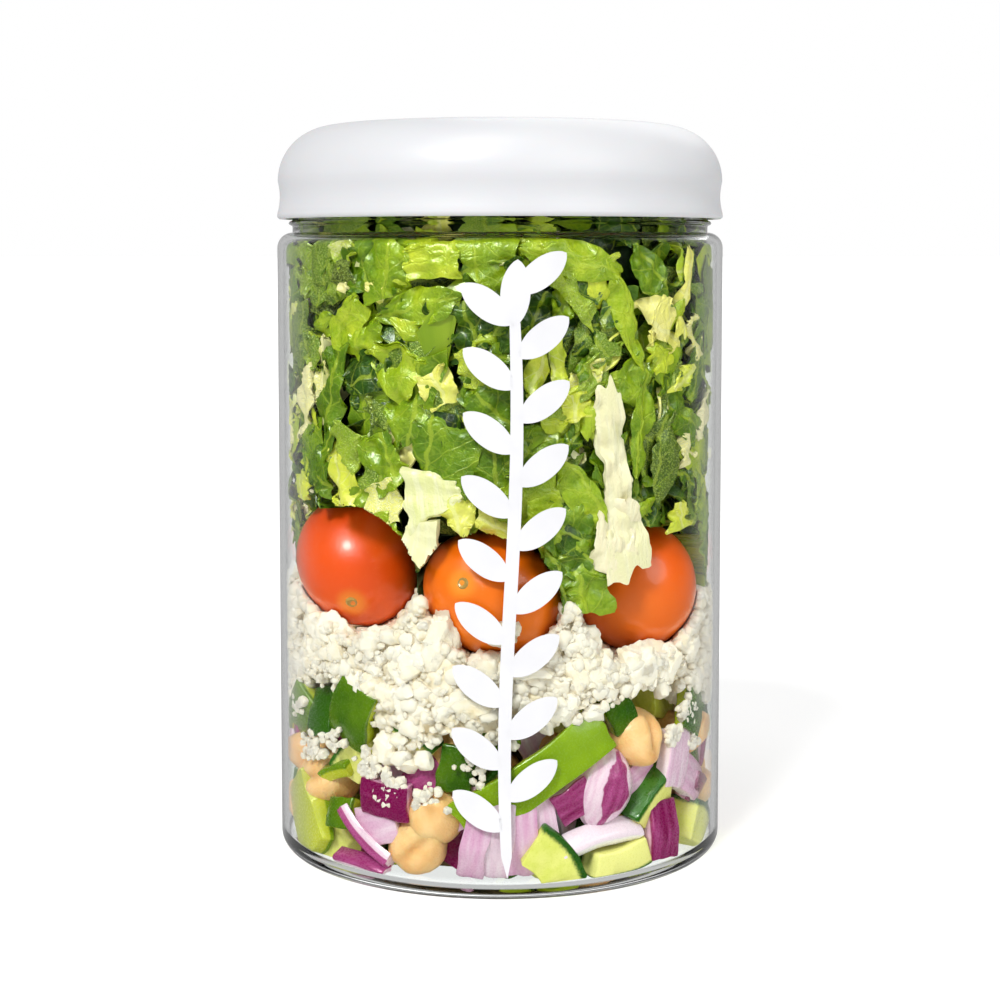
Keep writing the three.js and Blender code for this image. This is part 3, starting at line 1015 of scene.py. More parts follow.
scatter(heart_bits, 60, rng, (2.6, 6.0), (0.0, 0.9), (6.0, 12.0), **FRILLS)
scatter(heart_bits, 34, rng, (0.8, 3.0), (0.1, 0.9), (6.0, 12.0), skip_front=True, **FRILLS)

# %% [markdown]
# ## The leaves against the front of the glass
#
# The pieces pressed on the glass give the salad its face, so they are listed one by one. A row
# gives the outline, the bearing and height on the wall, how deep it lies, length and width in
# millimetres, its turn in degrees, its tone, and its bend in radians with the crease's place.

# %% Front leaves, listed one by one
# Pieces set deeper mostly have darker tones: partly their own colour, partly painted shade for the depth.
FRONT_LEAVES = (
    ("square", 241, 124, 1.0, 12, 10, -8, 0.62, 0.5, None, 0),
    ("square", 253, 126, 0.7, 8, 11, 4, 0.84, -0.6, 0.5, 0),
    ("point", 230, 124, 2.6, 9, 8, 30, 0.42, 0.4, None, 0),
    ("lance", 250, 117, 1.5, 18, 7, -76, 0.64, 0.5, None, 0),
    ("square", 226, 114, 1.2, 18, 12, 62, 0.76, -0.9, 0.3, 0),
    ("oval", 234, 112, 2.0, 9, 8, -10, 0.68, -0.5, None, 0),
    ("lance", 248, 109, 4.0, 14, 5, -80, 0.2, 0.3, None, 0),
    ("square", 243, 105, 0.8, 11, 12, -28, 0.78, 1.3, 0.62, 0),
    ("point", 246, 98, 1.6, 16, 13, 172, 0.55, 0.5, None, 0),
    ("square", 220, 97, 1.2, 25, 7, -17, 0.46, 0.4, None, 0),
    ("oval", 213, 107, 0.7, 8, 6, 8, 0.5, -1.2, None, 1),
    ("square", 256, 97, 2.4, 8, 8, -42, 0.3, 0.4, None, 1),
    ("square", 257, 91, 1.1, 19, 13, -12, 0.52, -0.5, 0.55, 0),
    ("point", 227, 90, 0.9, 12, 7, 52, 0.66, -0.7, None, 1),
    ("square", 239, 86, 1.4, 11, 9, 24, 0.6, 0.6, None, 0),
    ("square", 214, 84, 1.6, 12, 9, 64, 0.42, -0.8, 0.5, 0),
    ("oval", 207, 124, 2.0, 11, 9, 10, 0.6, 0.3, None, 1),
    ("square", 216, 121, 3.0, 9, 8, 20, 0.38, 0.4, None, 1),
    ("lance", 289, 126, 0.7, 22, 7.5, 78, 0.7, 0.5, None, 0),
    ("flare", 288, 119.5, 0.5, 14, 7.5, 222, 0.72, 0.6, None, 1),
    ("point", 286, 116, 2.2, 9, 5, 170, 0.62, 0.4, None, 0),
    ("lance", 303, 114.5, 0.6, 22, 4.8, 22, 0.76, 0.3, None, 0),
    ("lance", 311, 123.5, 1.1, 13, 8, 42, 0.5, 0.8, None, 0),
    ("square", 315, 106.5, 0.8, 6, 6, 10, 0.86, -0.6, 0.5, 0),
    ("lance", 294, 108.5, 3.4, 12, 5, -62, 0.18, -0.5, None, 0),
    ("lance", 295, 104, 1.7, 14, 5, -42, 0.6, 0.7, None, 1),
    ("square", 303, 101.5, 1.0, 8, 8.5, 4, 0.62, -0.3, None, 0),
    ("lance", 308.5, 94, 0.9, 22, 5.5, -9, 0.62, 0.3, None, 0),
    ("lance", 317, 86, 0.7, 18, 8.5, -14, 0.22, -0.2, None, 1),
    ("square", 327, 92.5, 0.8, 12, 6.5, 60, 0.5, 0.4, None, 0),
    ("oval", 284, 96, 1.2, 7, 6, 10, 0.88, -0.8, None, 0),
    ("lance", 293, 94.5, 1.9, 15, 6, -42, 0.34, 0.9, None, 0),
    ("square", 239.5, 71.5, 1.2, 9, 7, 26, 0.74, -0.5, None, 0),
    ("point", 245, 65.5, 3.0, 7, 6, 160, 0.25, 0.4, None, 0),
    ("square", 277, 79, 1.0, 9, 12, 8, 0.72, 0.4, None, 0),
    ("lance", 290.5, 80, 0.8, 17, 7, 36, 0.68, 0.5, None, 0),
    ("square", 288, 72, 0.7, 14, 11, 40, 0.5, 0.9, 0.55, 0),
    ("square", 292.5, 61.5, 0.5, 11, 9, 16, 0.62, -0.5, 0.5, 0),
    ("lance", 284, 63, 1.3, 14, 5.5, 18, 0.5, 0.5, None, 0),
    ("lance", 330, 80, 1.4, 12, 5, 60, 0.32, 0.5, None, 0),
    ("square", 265, 113, 2.2, 12, 11, 18, 0.32, 0.5, None, 0),
    ("point", 268, 124.5, 1.6, 13, 11, 190, 0.66, 0.4, None, 0),
    ("lance", 272, 107, 2.4, 14, 6, -30, 0.56, 0.6, None, 0),
    ("square", 270, 98, 1.8, 12, 10, 50, 0.44, -0.6, 0.5, 0),
    ("oval", 277, 89, 1.6, 13, 9, -60, 0.56, 0.5, None, 0),
    ("square", 267, 84, 1.3, 12, 9, 12, 0.48, 0.5, None, 0),
    ("square", 278, 115, 2.8, 11, 9, -20, 0.24, 0.3, None, 0),
    ("oval", 321, 99, 1.6, 9, 8, 20, 0.44, 0.5, None, 0),
    ("square", 321, 111, 2.4, 10, 8, 35, 0.34, 0.4, None, 0),
    ("lance", 333, 104, 1.0, 14, 7, -20, 0.42, 0.6, None, 0),
    ("square", 338, 115, 1.2, 12, 9, 15, 0.5, 0.4, None, 1),
    ("oval", 207, 92, 1.3, 12, 8, 12, 0.42, 0.6, None, 0),
    ("square", 204, 111, 1.0, 13, 9, -10, 0.34, 0.4, None, 1),
    ("lance", 212, 74.5, 2.4, 10, 6, 30, 0.5, 0.5, None, 0),
    ("square", 233, 101, 3.2, 12, 10, 30, 0.28, 0.4, None, 0),
    ("lance", 232, 80.5, 1.6, 12, 6, -40, 0.6, 0.6, None, 0),
    ("point", 262, 76, 2.6, 9, 7, 180, 0.6, 0.4, None, 0),
    ("square", 300, 86, 2.4, 11, 8, -20, 0.5, 0.6, None, 0),
    ("square", 310, 78, 2.6, 12, 8, 20, 0.3, 0.4, None, 0),
    ("oval", 341, 87, 1.2, 12, 8, 10, 0.46, 0.4, None, 1),
    ("lance", 343, 66, 1.6, 14, 7, 20, 0.5, 0.5, None, 1),
    ("square", 341, 74, 1.0, 9, 7, 50, 0.62, 0.4, None, 0),
)


ROW_GAP = 0.012


def lay_by_hand(pile, rows, rng, **style):
    """Lays listed leaf pieces, each a little deeper than the row before."""
    for index, row in enumerate(rows):
        kind, bearing, height, depth, length, width, turn, tone, bend, crease, under = row
        place = at_wall(bearing, height, depth, turn, rng.uniform(-9, 9), rng.uniform(-9, 9))
        shape = leaf(
            kind, length, width, rng, bend=bend, crease=crease, curl=rng.uniform(-0.5, 0.15),
            fold=rng.uniform(0.0, 0.3), twist=rng.uniform(-0.15, 0.15), under=under, **style,
        )
        rule = settler(0.2 + 0.35 * depth + ROW_GAP * index, tuck=depth > 0.85, buckle=0.45)
        pile.drop(as_form(shape), place, tone, rule)


rng = random.Random(5)
front_leaves = Pile()
lay_by_hand(front_leaves, FRONT_LEAVES, rng, steps=(16, 22), thick=0.45, ruffle=1.1, blister=1.5)
SCRAPS = {"kinds": ("square", "point", "lance", "flare"), "ruffle": 0.8, "blister": 1.0, "thick": 0.4}
scatter(front_leaves, 190, rng, (1.4, 3.6), (0.15, 0.95), (5.0, 11.0), **SCRAPS)
front_leaves.piece("leaves_front", leaf_green, "lettuce", "lettuce")

# %% Yellow heart pieces at the front
FRONT_HEARTS = (
    ("lance", 209.5, 97, 0.6, 15, 6, -14, 0.85, 0.3, None, 1),
    ("square", 254.5, 101, 1.2, 7, 7, 30, 0.5, 0.7, 0.5, 0),
    ("square", 244, 89.5, 2.6, 8, 6, 50, 0.75, 0.4, None, 0),
    ("lance", 226, 120.5, 2.2, 6, 2.6, 50, 0.9, 0.8, None, 0),
    ("point", 237, 120, 1.3, 5, 3.5, 60, 0.62, 0.3, None, 0),
    ("point", 313.5, 115.5, 1.0, 11, 8, 62, 0.66, -0.9, 0.5, 0),
    ("oval", 316, 110, 1.6, 9, 6, 70, 0.6, 0.8, None, 0),
    ("flare", 284, 107.5, 1.0, 12, 6, 190, 0.14, 1.0, None, 0),
    ("lance", 279, 104, 1.6, 10, 4.5, 165, 0.2, 0.8, None, 0),
    ("lance", 324.5, 102, 0.6, 9, 4, -60, 0.25, 1.6, None, 0),
    ("square", 328, 87.5, 1.4, 6, 6, 10, 0.8, 0.4, None, 1),
    ("lance", 337, 93.5, 0.7, 11, 4, -30, 1.0, 0.9, None, 1),
    ("flare", 325, 119, 0.6, 18, 4.6, -12, 0.5, 0.5, None, 0),
    ("square", 289, 97.5, 0.9, 5, 6, 20, 0.3, 0.8, None, 0),
    ("oval", 226, 81, 1.0, 11, 8, 8, 0.3, 0.9, None, 0),
    ("point", 260, 76, 0.9, 8, 7, 190, 0.42, 0.5, None, 0),
    ("square", 238.5, 78, 1.8, 8, 8, 15, 0.55, 0.5, None, 1),
    ("flare", 323.5, 74, 0.6, 5, 10, 0, 0.28, 0.8, None, 0),
    ("oval", 207, 79.5, 0.8, 7, 6, 20, 0.25, -0.8, None, 0),
    ("lance", 291, 102, 2.2, 13, 5, -50, 0.55, 0.6, None, 1),
    ("lance", 300, 108, 2.6, 11, 4, -35, 0.4, 0.6, None, 0),
    ("square", 332, 110, 1.6, 9, 5, 25, 0.7, 0.6, None, 1),
    ("lance", 217, 104, 1.4, 13, 3.5, -12, 0.7, 0.5, None, 1),
    ("oval", 224, 84.5, 2.4, 8, 6, 40, 0.3, 0.5, None, 0),
    ("flare", 262, 92, 2.2, 8, 5, 150, 0.25, 0.9, None, 0),
    ("square", 269, 74.5, 1.8, 8, 5, 60, 0.45, 0.6, None, 0),
    ("lance", 318, 94, 2.0, 12, 4, 10, 0.6, 0.5, None, 1),
)
lay_by_hand(heart_bits, FRONT_HEARTS, rng, steps=(14, 18), thick=0.45, ruffle=1.4, blister=1.0, cut=0.5)
heart_bits.piece("heart_leaves", heart_yellow, "lettuce_heart", "lettuce")

# %% [markdown]
# ## Pale ribs
#
# The thick white ribs of the romaine were chopped too. They are the same leaf shape with more
# thickness, and their finish has strings that run along them. One long rib hangs over the
# right tomato and widens to a rough base.

# %% Ribs
FRONT_RIBS = (
    ("square", 253, 80, 0.8, 8, 12, 8, 0.35, 0.6, None, 0),
    ("square", 249.5, 70.5, 0.9, 8, 7, -8, 0.55, 0.5, None, 0),
    ("lance", 246, 118.5, 4.5, 8, 3, 60, 0.4, 0.4, None, 0),
    ("square", 285, 90.5, 3.6, 9, 3, 40, 0.4, 0.4, None, 0),
)
rib_pile = Pile()
lay_by_hand(rib_pile, FRONT_RIBS, rng, steps=(16, 16), thick=1.5, ruffle=0.3, blister=0.5)
long_rib = leaf(
    "flare", 38, 11.0, rng, bend=0.3, curl=-0.7, fold=0.05, ruffle=1.0, blister=1.2, thick=0.8,
    steps=(18, 44), twist=0.1, cut=0.6,
)
rib_pile.drop(as_form(long_rib), at_wall(300.5, 82.5, 0.6, 9.0), 0.75, settler(0.2))
rib_foot = leaf(
    "oval", 14, 11, rng, bend=0.4, curl=-0.4, ruffle=1.4, blister=1.6, thick=0.8, steps=(22, 26), cut=1.6
)
rib_pile.drop(as_form(rib_foot), at_wall(300.5, 71.5, 0.5, -12.0), 0.95, settler(0.2))
CHUNKS = {"steps": (9, 11), "thick": 1.2, "ruffle": 0.4, "blister": 1.2}
scatter(rib_pile, 26, rng, (3.5, 7.0), (0.0, 1.0), (5.0, 9.0), **CHUNKS)
scatter(rib_pile, 20, rng, (1.4, 3.0), (0.0, 1.0), (5.0, 9.0), skip_front=True, **CHUNKS)
rib_pile.piece("leaf_ribs", rib_cream, "lettuce_heart", "lettuce")

# %% [markdown]
# ## Crumbled white cheese
#
# The cheese is brined and crumbly. It breaks into lumps with flat faces, and they shed grains
# of one to three millimetres that stick to everything. A bumpy core gives the mass. Lumps and
# thousands of grains are copies of a few shapes, each turned and stretched its own way. The
# smallest have only a few faces, because there are thousands of them.

# %% Borders of the cheese layer
def cheese_floor(bearing):
    """Height of the layer's lower edge at the wall. A tongue of crumbs has slid down."""
    turn = math.radians(bearing - 312.0)
    tongue = (bearing % 360.0 - 243.0) / 9.0
    return 36.5 + 4.0 * math.cos(4.0 * turn) - 11.0 * math.exp(-tongue ** 2)


def cheese_top(bearing):
    """Height of the layer's upper edge at the wall."""
    turn = math.radians(bearing - 248.0)
    return 56.5 + 2.0 * math.cos(turn) + 0.8 * math.sin(7.0 * math.radians(bearing))


def cheese_dents(spot):
    lumps = noise.noise(spot * 0.13)
    cells = noise.voronoi(spot * 0.3)[0][0]
    return 1.2 * lumps - 2.6 * cells


def cheese_white():
    """Matte white cheese, partly creamy of its own. A lower tone gives a darker, yellower cream, which the
    deeper grains get as painted shade.
    """
    finish = Finish("cheese_white", (0.93, 0.87, 0.72), 0.55, Subsurface_Weight=0.3,
                    Subsurface_Radius=(1.0, 0.9, 0.75), Subsurface_Scale=0.0006)
    grain = finish.note("grain")
    tone = finish.note("tone")
    cloud = finish.noise(grain, 0.35, 4.0)
    fine = finish.noise(grain, 3.2, 3.0)
    blend = finish.math("ADD", tone, finish.math("SUBTRACT", cloud, 0.5))
    colour = finish.ramp(
        blend, (0.0, (0.9, 0.71, 0.36)), (0.35, (0.94, 0.82, 0.58)), (0.7, (0.96, 0.88, 0.73))
    )
    return finish.wear(colour, finish.rise(fine, 0.3, 0.7, 0.45, 0.65), fine, 0.00035, 0.6)


cheese = cheese_white()
cheese_core = Pile()
cheese_core.drop(
    as_form(core_column(
        45.2, lambda b: cheese_floor(b) + 0.6, lambda b: cheese_top(b) - 1.0, 40, 330, cheese_dents
    )),
    AS_IT_IS, 0.45, settler(0.5, clear=-0.2, tuck=True),
)
cheese_core.piece("cheese_core", cheese, "white_cheese", "cheese")

# %% Broken lumps and grains
def broken_ball(level, seed, cuts, rough):
    """A ball with flat broken faces and a grainy skin, about one across each half."""
    rng = random.Random(seed)
    shape = new_shape()
    bmesh.ops.create_icosphere(shape, subdivisions=level, radius=1.0)
    grain, _ = notes(shape)
    faces = []
    for cut in range(cuts):
        direction = Vector((rng.uniform(-1, 1), rng.uniform(-1, 1), rng.uniform(-1, 1)))
        faces.append((direction.normalized(), rng.uniform(0.55, 0.8)))
    for vert in shape.verts:
        spot = vert.co.copy()
        for direction, limit in faces:
            over = spot.dot(direction) - limit
            if over > 0.0:
                spot -= direction * over
        start = Vector((seed, 0.0, 0.0))
        push = rough * noise.noise(spot * 1.7 + start) + 0.55 * rough * noise.noise(spot * 4.2 + start)
        push += 0.35 * rough * noise.noise(spot * 9.0 + start)
        vert.co = spot * (1.0 + push)
        vert[grain] = vert.co * 5.0
    return as_form(shape)


def any_turn(rng):
    """A turn to any side."""
    turn = Matrix.Rotation(rng.uniform(0, FULL_TURN), 4, "Z")
    return turn @ Matrix.Rotation(rng.uniform(0, FULL_TURN), 4, "X")


lump_forms = [broken_ball(4, 10 + n, 6, 0.28) for n in range(6)]
FRONT_LUMPS = (
    (253.5, 51.5, 5.2, 6.8), (290.5, 51.0, 6.2, 4.2), (309.0, 44.5, 4.6, 4.8), (222.0, 46.5, 5.4, 4.2),
    (236.0, 50.0, 3.4, 3.4), (263.0, 40.0, 5.2, 4.4), (277.0, 46.0, 6.0, 3.6), (297.0, 43.5, 5.0, 4.4),
    (246.0, 38.0, 5.0, 4.6), (320.0, 44.0, 4.6, 4.2), (212.0, 50.0, 4.0, 3.8), (238.0, 28.5, 3.6, 3.6),
    (331.0, 47.0, 3.8, 4.2), (270.0, 53.0, 4.4, 3.0), (285.0, 38.5, 4.6, 3.6), (205.0, 42.0, 4.0, 4.0),
)
rng = random.Random(21)
cheese_lumps = Pile()
for index, (bearing, height, wide, tall) in enumerate(FRONT_LUMPS):
    place = at_wall(bearing, height, min(wide, tall) * 0.82, 0.0)
    size = Matrix.Diagonal((wide, tall, min(wide, tall), 1.0))
    form = lump_forms[index % len(lump_forms)]
    cheese_lumps.drop(form, place @ size @ any_turn(rng), rng.uniform(0.5, 0.75), settler(0.25))
for index in range(120):
    bearing = turned_to(index)
    height = spread(index, cheese_floor(bearing) + 1.0, cheese_top(bearing) - 1.0)
    size = rng.uniform(2.4, 4.8)
    place = at_wall(bearing, height, size * 0.9)
    spot = place.to_translation()
    if tomato_reach(spot) < 1.0 + 0.6 * size / TOMATO_R or hides_tomato(spot):
        continue
    stretch = Matrix.Diagonal((size * rng.uniform(0.9, 1.3), size, size * 0.9, 1.0))
    form = lump_forms[index % len(lump_forms)]
    cheese_lumps.drop(form, place @ stretch @ any_turn(rng), rng.uniform(0.5, 0.75), settler(0.25))
cheese_lumps.piece("cheese_lumps", cheese, "white_cheese", "cheese")

# %% Grains
def crumb_cloud(pile, forms, count, rng, sizes, depths):
    """Spreads grains through the cheese layer close to the wall."""
    for index in range(count):
        bearing = turned_to(index)
        edge = rng.gauss(0.0, 0.9)
        height = spread(index, cheese_floor(bearing) - 0.8, cheese_top(bearing) + 0.6) + edge
        size = rng.uniform(*sizes)
        depth = size + rng.uniform(*depths)
        place = at_wall(bearing, height, depth)
        spot = place.to_translation()
        if tomato_reach(spot) < 1.0 + 0.5 * size / TOMATO_R or hides_tomato(spot):
            continue
        stretch = Matrix.Diagonal((size * rng.uniform(0.8, 1.3), size, size * rng.uniform(0.7, 1.1), 1.0))
        # Painted shade: the deeper a grain sits, the lower its tone, so it reads darker and yellower.
        tone = 0.72 - 0.11 * (depth - size) + rng.uniform(-0.08, 0.08)
        pile.drop(rng.choice(forms), place @ stretch @ any_turn(rng), tone, settler(0.16))


mid_forms = [broken_ball(2, 30 + n, 4, 0.3) for n in range(6)]
fine_forms = [broken_ball(1, 50 + n, 0, 0.5) for n in range(6)]
crumbs = Pile()
crumb_cloud(crumbs, mid_forms, 1000, rng, (1.0, 2.4), (-0.4, 1.6))
crumb_cloud(crumbs, fine_forms, 2600, rng, (0.45, 1.05), (0.0, 1.4))
STRAY_CRUMBS = (
    (212, 26.0, 26, 4.0), (222, 29.0, 16, 3.0), (241, 21.5, 34, 4.5), (252, 19.5, 26, 4.0),
    (235, 25.5, 26, 3.4), (320, 29.0, 18, 2.6), (326, 33.5, 26, 3.6), (339, 36.0, 18, 3.2),
    (330, 26.5, 8, 2.0), (204, 33.0, 18, 3.4), (262, 26.0, 10, 3.4), (100, 24.0, 30, 5.0),
    (40, 27.0, 30, 5.0), (160, 26.0, 30, 5.0),
)
for bearing, height, count, patch in STRAY_CRUMBS:
    for index in range(count):
        size = rng.uniform(0.5, 1.25)
        aside = rng.gauss(0.0, patch * 0.55) / WALL_IN_R
        place = at_wall(
            bearing + math.degrees(aside), height + rng.gauss(0.0, patch * 0.4), size * 0.9
        )
        form = rng.choice(mid_forms if size > 1.0 else fine_forms)
        place = place @ Matrix.Scale(size, 4) @ any_turn(rng)
        crumbs.drop(form, place, rng.uniform(0.6, 0.8), settler(0.15))
crumbs.piece("cheese_crumbs", cheese, "white_cheese", "cheese")

# %% Grains that line the hollows round the front tomatoes
nest = Pile()
for _, stretched in TOMATO_BLOCKS[:3]:
    middle = stretched.to_translation()
    for index in range(380):
        turn = rng.uniform(-3.4, 0.3)
        size = rng.uniform(1.0, 2.0)
        reach = 9.0
        aside = Vector((math.cos(turn), 0.0, math.sin(turn)))
        before = middle + BACKWARDS * -40.0
        while way_behind(before + aside * reach) > 0.0 and reach < 20.0:
            reach += 0.4
        spot = middle + aside * (reach + 0.45 * size)
        front = -math.sqrt(max(1.0, (WALL_IN_R - size) ** 2 - spot.x ** 2))
        spot.y = rng.uniform(front, spot.y + 4.0)
        bearing = math.degrees(math.atan2(spot.y, spot.x)) % 360.0
        if not cheese_floor(bearing) < spot.z < cheese_top(bearing) or tomato_reach(spot) < 1.03:
            continue
        if math.hypot(spot.x, spot.y) > WALL_IN_R - size or way_behind(spot, 0.99) > 0.0:
            continue
        place = Matrix.Translation(spot) @ Matrix.Scale(size, 4) @ any_turn(rng)
        nest.drop(rng.choice(mid_forms), place, rng.uniform(0.5, 0.75), settler(0.16))
nest.piece("cheese_nest", cheese, "white_cheese", "cheese")

# %% [markdown]
# ## Chickpeas
#
# A cooked chickpea is a ball about 13 mm across with a beak at one end and a shallow groove
# that runs down from the beak between two cheeks. All three are small moves of a ball's points.

# %% Chickpea shape and skin
def chickpea_form(seed, level=4):
    """One chickpea about one unit in radius, its beak up and its groove to the front."""
    shape = new_shape()
    bmesh.ops.create_icosphere(shape, subdivisions=level, radius=1.0)
    grain, rind = notes(shape)
    start = Vector((seed, seed * 0.7, 0.0))
    for vert in shape.verts:
        side, front, up = vert.co
        beak = math.exp(-((1.0 - up) / 0.16))
        groove = math.exp(-(side / 0.15) ** 2) * between(-0.75, 0.3, up) * between(-0.35, 0.2, front)
        cheeks = 0.07 * math.exp(-((abs(side) - 0.5) / 0.35) ** 2) * between(-0.6, 0.4, front)
        wrinkle = 0.06 * noise.noise(vert.co * 1.3 + start) - 0.05 * abs(noise.noise(vert.co * 2.6 + start))
        size = 0.92 + 0.26 * beak - 0.2 * groove * (1.0 - beak) + cheeks + wrinkle
        vert[grain] = vert.co * 6.0
        # The rind note here carries the groove, which the skin darkens as painted shade.
        vert[rind] = groove
        tip = Vector((0.0, 0.3 * beak, 0.0))
        vert.co = Vector((side * 1.02, front * 0.97, up)) * size + tip
    return as_form(shape)


def chickpea_skin():
    """Waxy beige skin, with painted shade darkening the groove."""
    finish = Finish(
        "chickpea_skin", (0.8, 0.5, 0.22), 0.4,
        Subsurface_Weight=0.2, Subsurface_Scale=0.003, Coat_Weight=0.2, Coat_Roughness=0.2,
    )
    grain = finish.note("grain")
    tone = finish.note("tone")
    cloud = finish.noise(grain, 0.3, 4.0)
    fine = finish.noise(grain, 2.2, 3.0)
    blend = finish.math("ADD", tone, finish.math("SUBTRACT", cloud, 0.5))
    colour = finish.ramp(
        blend, (0.0, (0.72, 0.34, 0.1)), (0.5, (0.9, 0.53, 0.2)), (1.0, (0.95, 0.68, 0.34))
    )
    # Painted shade in the groove.
    dark = finish.math("MULTIPLY", finish.note("rind"), 0.6)
    colour = finish.mix(dark, colour, (0.6, 0.26, 0.06))
    return finish.wear(colour, finish.rise(fine, 0.3, 0.7, 0.32, 0.46), fine, 0.0003, 0.6)


# %% [markdown]
# ## Cut vegetables
#
# Pepper, onion and cucumber are cut slabs with a skin side. A slab starts as a grid with a
# slightly uneven outline, gets its thickness and soft cut edges, and is bent so that the skin
# side bulges. The rind note runs from 0 inside to 1 on the skin, and the finishes use it.

# %% One cut slab
def slab(length, width, thick, rng, arch=0.4, bow=0.2, edge=0.35, taper=0.0, steps=(9, 6), uneven=0.08):
    """A slab with x along it, y across it and its skin to +z, bent by arch and bow radians."""
    shape = new_shape()
    grain, rind = notes(shape)
    bmesh.ops.create_grid(shape, x_segments=steps[0], y_segments=steps[1], size=1.0)
    seed = rng.random() * 300.0
    for vert in shape.verts:
        along, across = vert.co.x, vert.co.y
        x = along * length / 2 * (1.0 + uneven * bumps(across * 1.4, seed, along))
        y = across * width / 2 * (1.0 - taper * along)
        y += uneven * width * bumps(along * 1.4, seed + 9.0, across)
        z = 0.05 * thick * bumps(x * 0.3, y * 0.3, seed)
        vert.co = Vector((x, y, z))
    bmesh.ops.solidify(shape, geom=shape.faces[:], thickness=thick)
    bmesh.ops.recalc_face_normals(shape, faces=shape.faces[:])
    cut_edges = [item for item in shape.edges if item.calc_face_angle(0.0) > 0.8]
    bmesh.ops.bevel(
        shape, geom=cut_edges, offset=edge, affect="EDGES", segments=2, profile=0.5, material=-1
    )
    lowest = min(vert.co.z for vert in shape.verts)
    highest = max(vert.co.z for vert in shape.verts)
    for vert in shape.verts:
        level = vert.co.z - (lowest + highest) / 2
        spot = Vector((vert.co.x, vert.co.y, level))
        vert[grain] = spot + Vector((seed, 0.0, 0.0))
        vert[rind] = (vert.co.z - lowest) / (highest - lowest)
        if bow > 1e-3:
            radius = width / bow
            turn = spot.y / radius
            spot.y = (radius + spot.z) * math.sin(turn)
            spot.z = (radius + spot.z) * math.cos(turn) - radius
        if arch > 1e-3:
            radius = length / arch
            turn = spot.x / radius
            spot.x = (radius + spot.z) * math.sin(turn)
            spot.z = (radius + spot.z) * math.cos(turn) - radius
        vert.co = spot
    return as_form(shape)


# %% Vegetable finishes
def skinned_finish(name, skin, skin_light, flesh, flesh_light, skin_from, roughness, streak=(0.4, 0.4, 0.4),
                   streak_share=1.0, coat=0.5):
    """Skin above a rind level, and streaked flesh below it. The tone shifts both colours."""
    finish = Finish(name, flesh, roughness, Subsurface_Weight=0.1, Subsurface_Radius=(1.0, 0.9, 0.7),
                    Subsurface_Scale=0.001, Coat_Weight=coat, Coat_Roughness=0.12)
    grain = finish.note("grain")
    tone = finish.note("tone")
    rind = finish.note("rind")
    stretched = (finish.node("VectorMath", {0: grain, 1: streak}, operation="MULTIPLY"), "Vector")
    cloud = finish.noise(stretched, 1.0, 3.0)
    fine = finish.noise(grain, 2.4, 3.0)
    blend = finish.math("ADD", tone, finish.sway(cloud, streak_share))
    skin_colour = finish.ramp(blend, (0.15, skin), (0.85, skin_light))
    flesh_colour = finish.ramp(blend, (0.15, flesh), (0.85, flesh_light))
    wobble = finish.math("ADD", rind, finish.sway(fine, 0.12))
    cover = finish.rise(wobble, skin_from - 0.07, skin_from + 0.05)
    colour = finish.mix(cover, flesh_colour, skin_colour)
    rough = finish.rise(fine, 0.3, 0.7, roughness - 0.05, roughness + 0.1)
    return finish.wear(colour, rough, fine, 0.00018, 0.4)


pepper_green = skinned_finish(
    "pepper_green", (0.03, 0.11, 0.002), (0.26, 0.42, 0.003), (0.38, 0.48, 0.008), (0.6, 0.62, 0.05),
    0.72, 0.22, (0.12, 0.12, 0.12), 0.6,
)
onion_red = skinned_finish(
    "onion_red", (0.2, 0.002, 0.07), (0.52, 0.1, 0.3), (0.66, 0.34, 0.5), (0.86, 0.74, 0.78),
    0.8, 0.26, (0.16, 0.9, 0.9), 1.0, 0.4,
)
onion_pale = skinned_finish(
    "onion_pale", (0.62, 0.26, 0.46), (0.82, 0.68, 0.74), (0.74, 0.56, 0.64), (0.88, 0.83, 0.82),
    0.9, 0.26, (0.12, 0.8, 0.8), 1.0, 0.4,
)
cucumber_green = skinned_finish(
    "cucumber_green", (0.006, 0.05, 0.002), (0.03, 0.15, 0.005), (0.6, 0.66, 0.06), (0.86, 0.84, 0.26),
    0.86, 0.3, (0.35, 0.35, 0.35), 0.8, 0.3,
)

# %% [markdown]
# ## The bottom layer
#
# Chickpeas, green pepper, red onion and cucumber fill the bottom third. Those against the
# front are listed one by one, and the rest go round the jar and behind them in turn.

# %% Chickpeas, listed one by one
CHICKPEA_R = 6.3
# The rows set deeper have lower tones: painted shade for their depth.
FRONT_CHICKPEAS = (
    (198, 22.0, 0.0, 1.0, 20, 0.45), (210, 18.5, 0.0, 1.04, -60, 0.55), (251.5, 15.0, 0.0, 1.06, 30, 0.55),
    (246, 8.6, 0.1, 1.0, 150, 0.6), (236, 13.0, 3.6, 0.9, 0, 0.4), (311, 29.6, 0.0, 1.0, -30, 0.55),
    (338, 27.0, 0.2, 1.0, 20, 0.5), (326, 20.0, 4.0, 0.95, 60, 0.35), (345, 13.0, 0.2, 1.0, 10, 0.5),
    (256, 28.5, 4.0, 0.9, 20, 0.35), (192, 10.0, 0.2, 1.0, 80, 0.5), (290, 27.0, 5.0, 0.95, 10, 0.3),
)
rng = random.Random(33)
chickpea_forms = [chickpea_form(3.0 + 5.0 * n) for n in range(4)]
back_forms = [chickpea_form(40.0 + 5.0 * n, 3) for n in range(4)]
chickpeas = Pile()
taken = []
for index, (bearing, height, depth, size, turn, tone) in enumerate(FRONT_CHICKPEAS):
    radius = CHICKPEA_R * size
    tip = rng.uniform(30, 75) if index % 2 else rng.uniform(-30, 25)
    place = at_wall(bearing, height, radius + depth, turn, tip, rng.uniform(-25, 25))
    form = chickpea_forms[index % len(chickpea_forms)]
    chickpeas.drop(form, place @ Matrix.Scale(radius, 4), tone, settler(0.1))
    taken.append((place.to_translation(), radius))


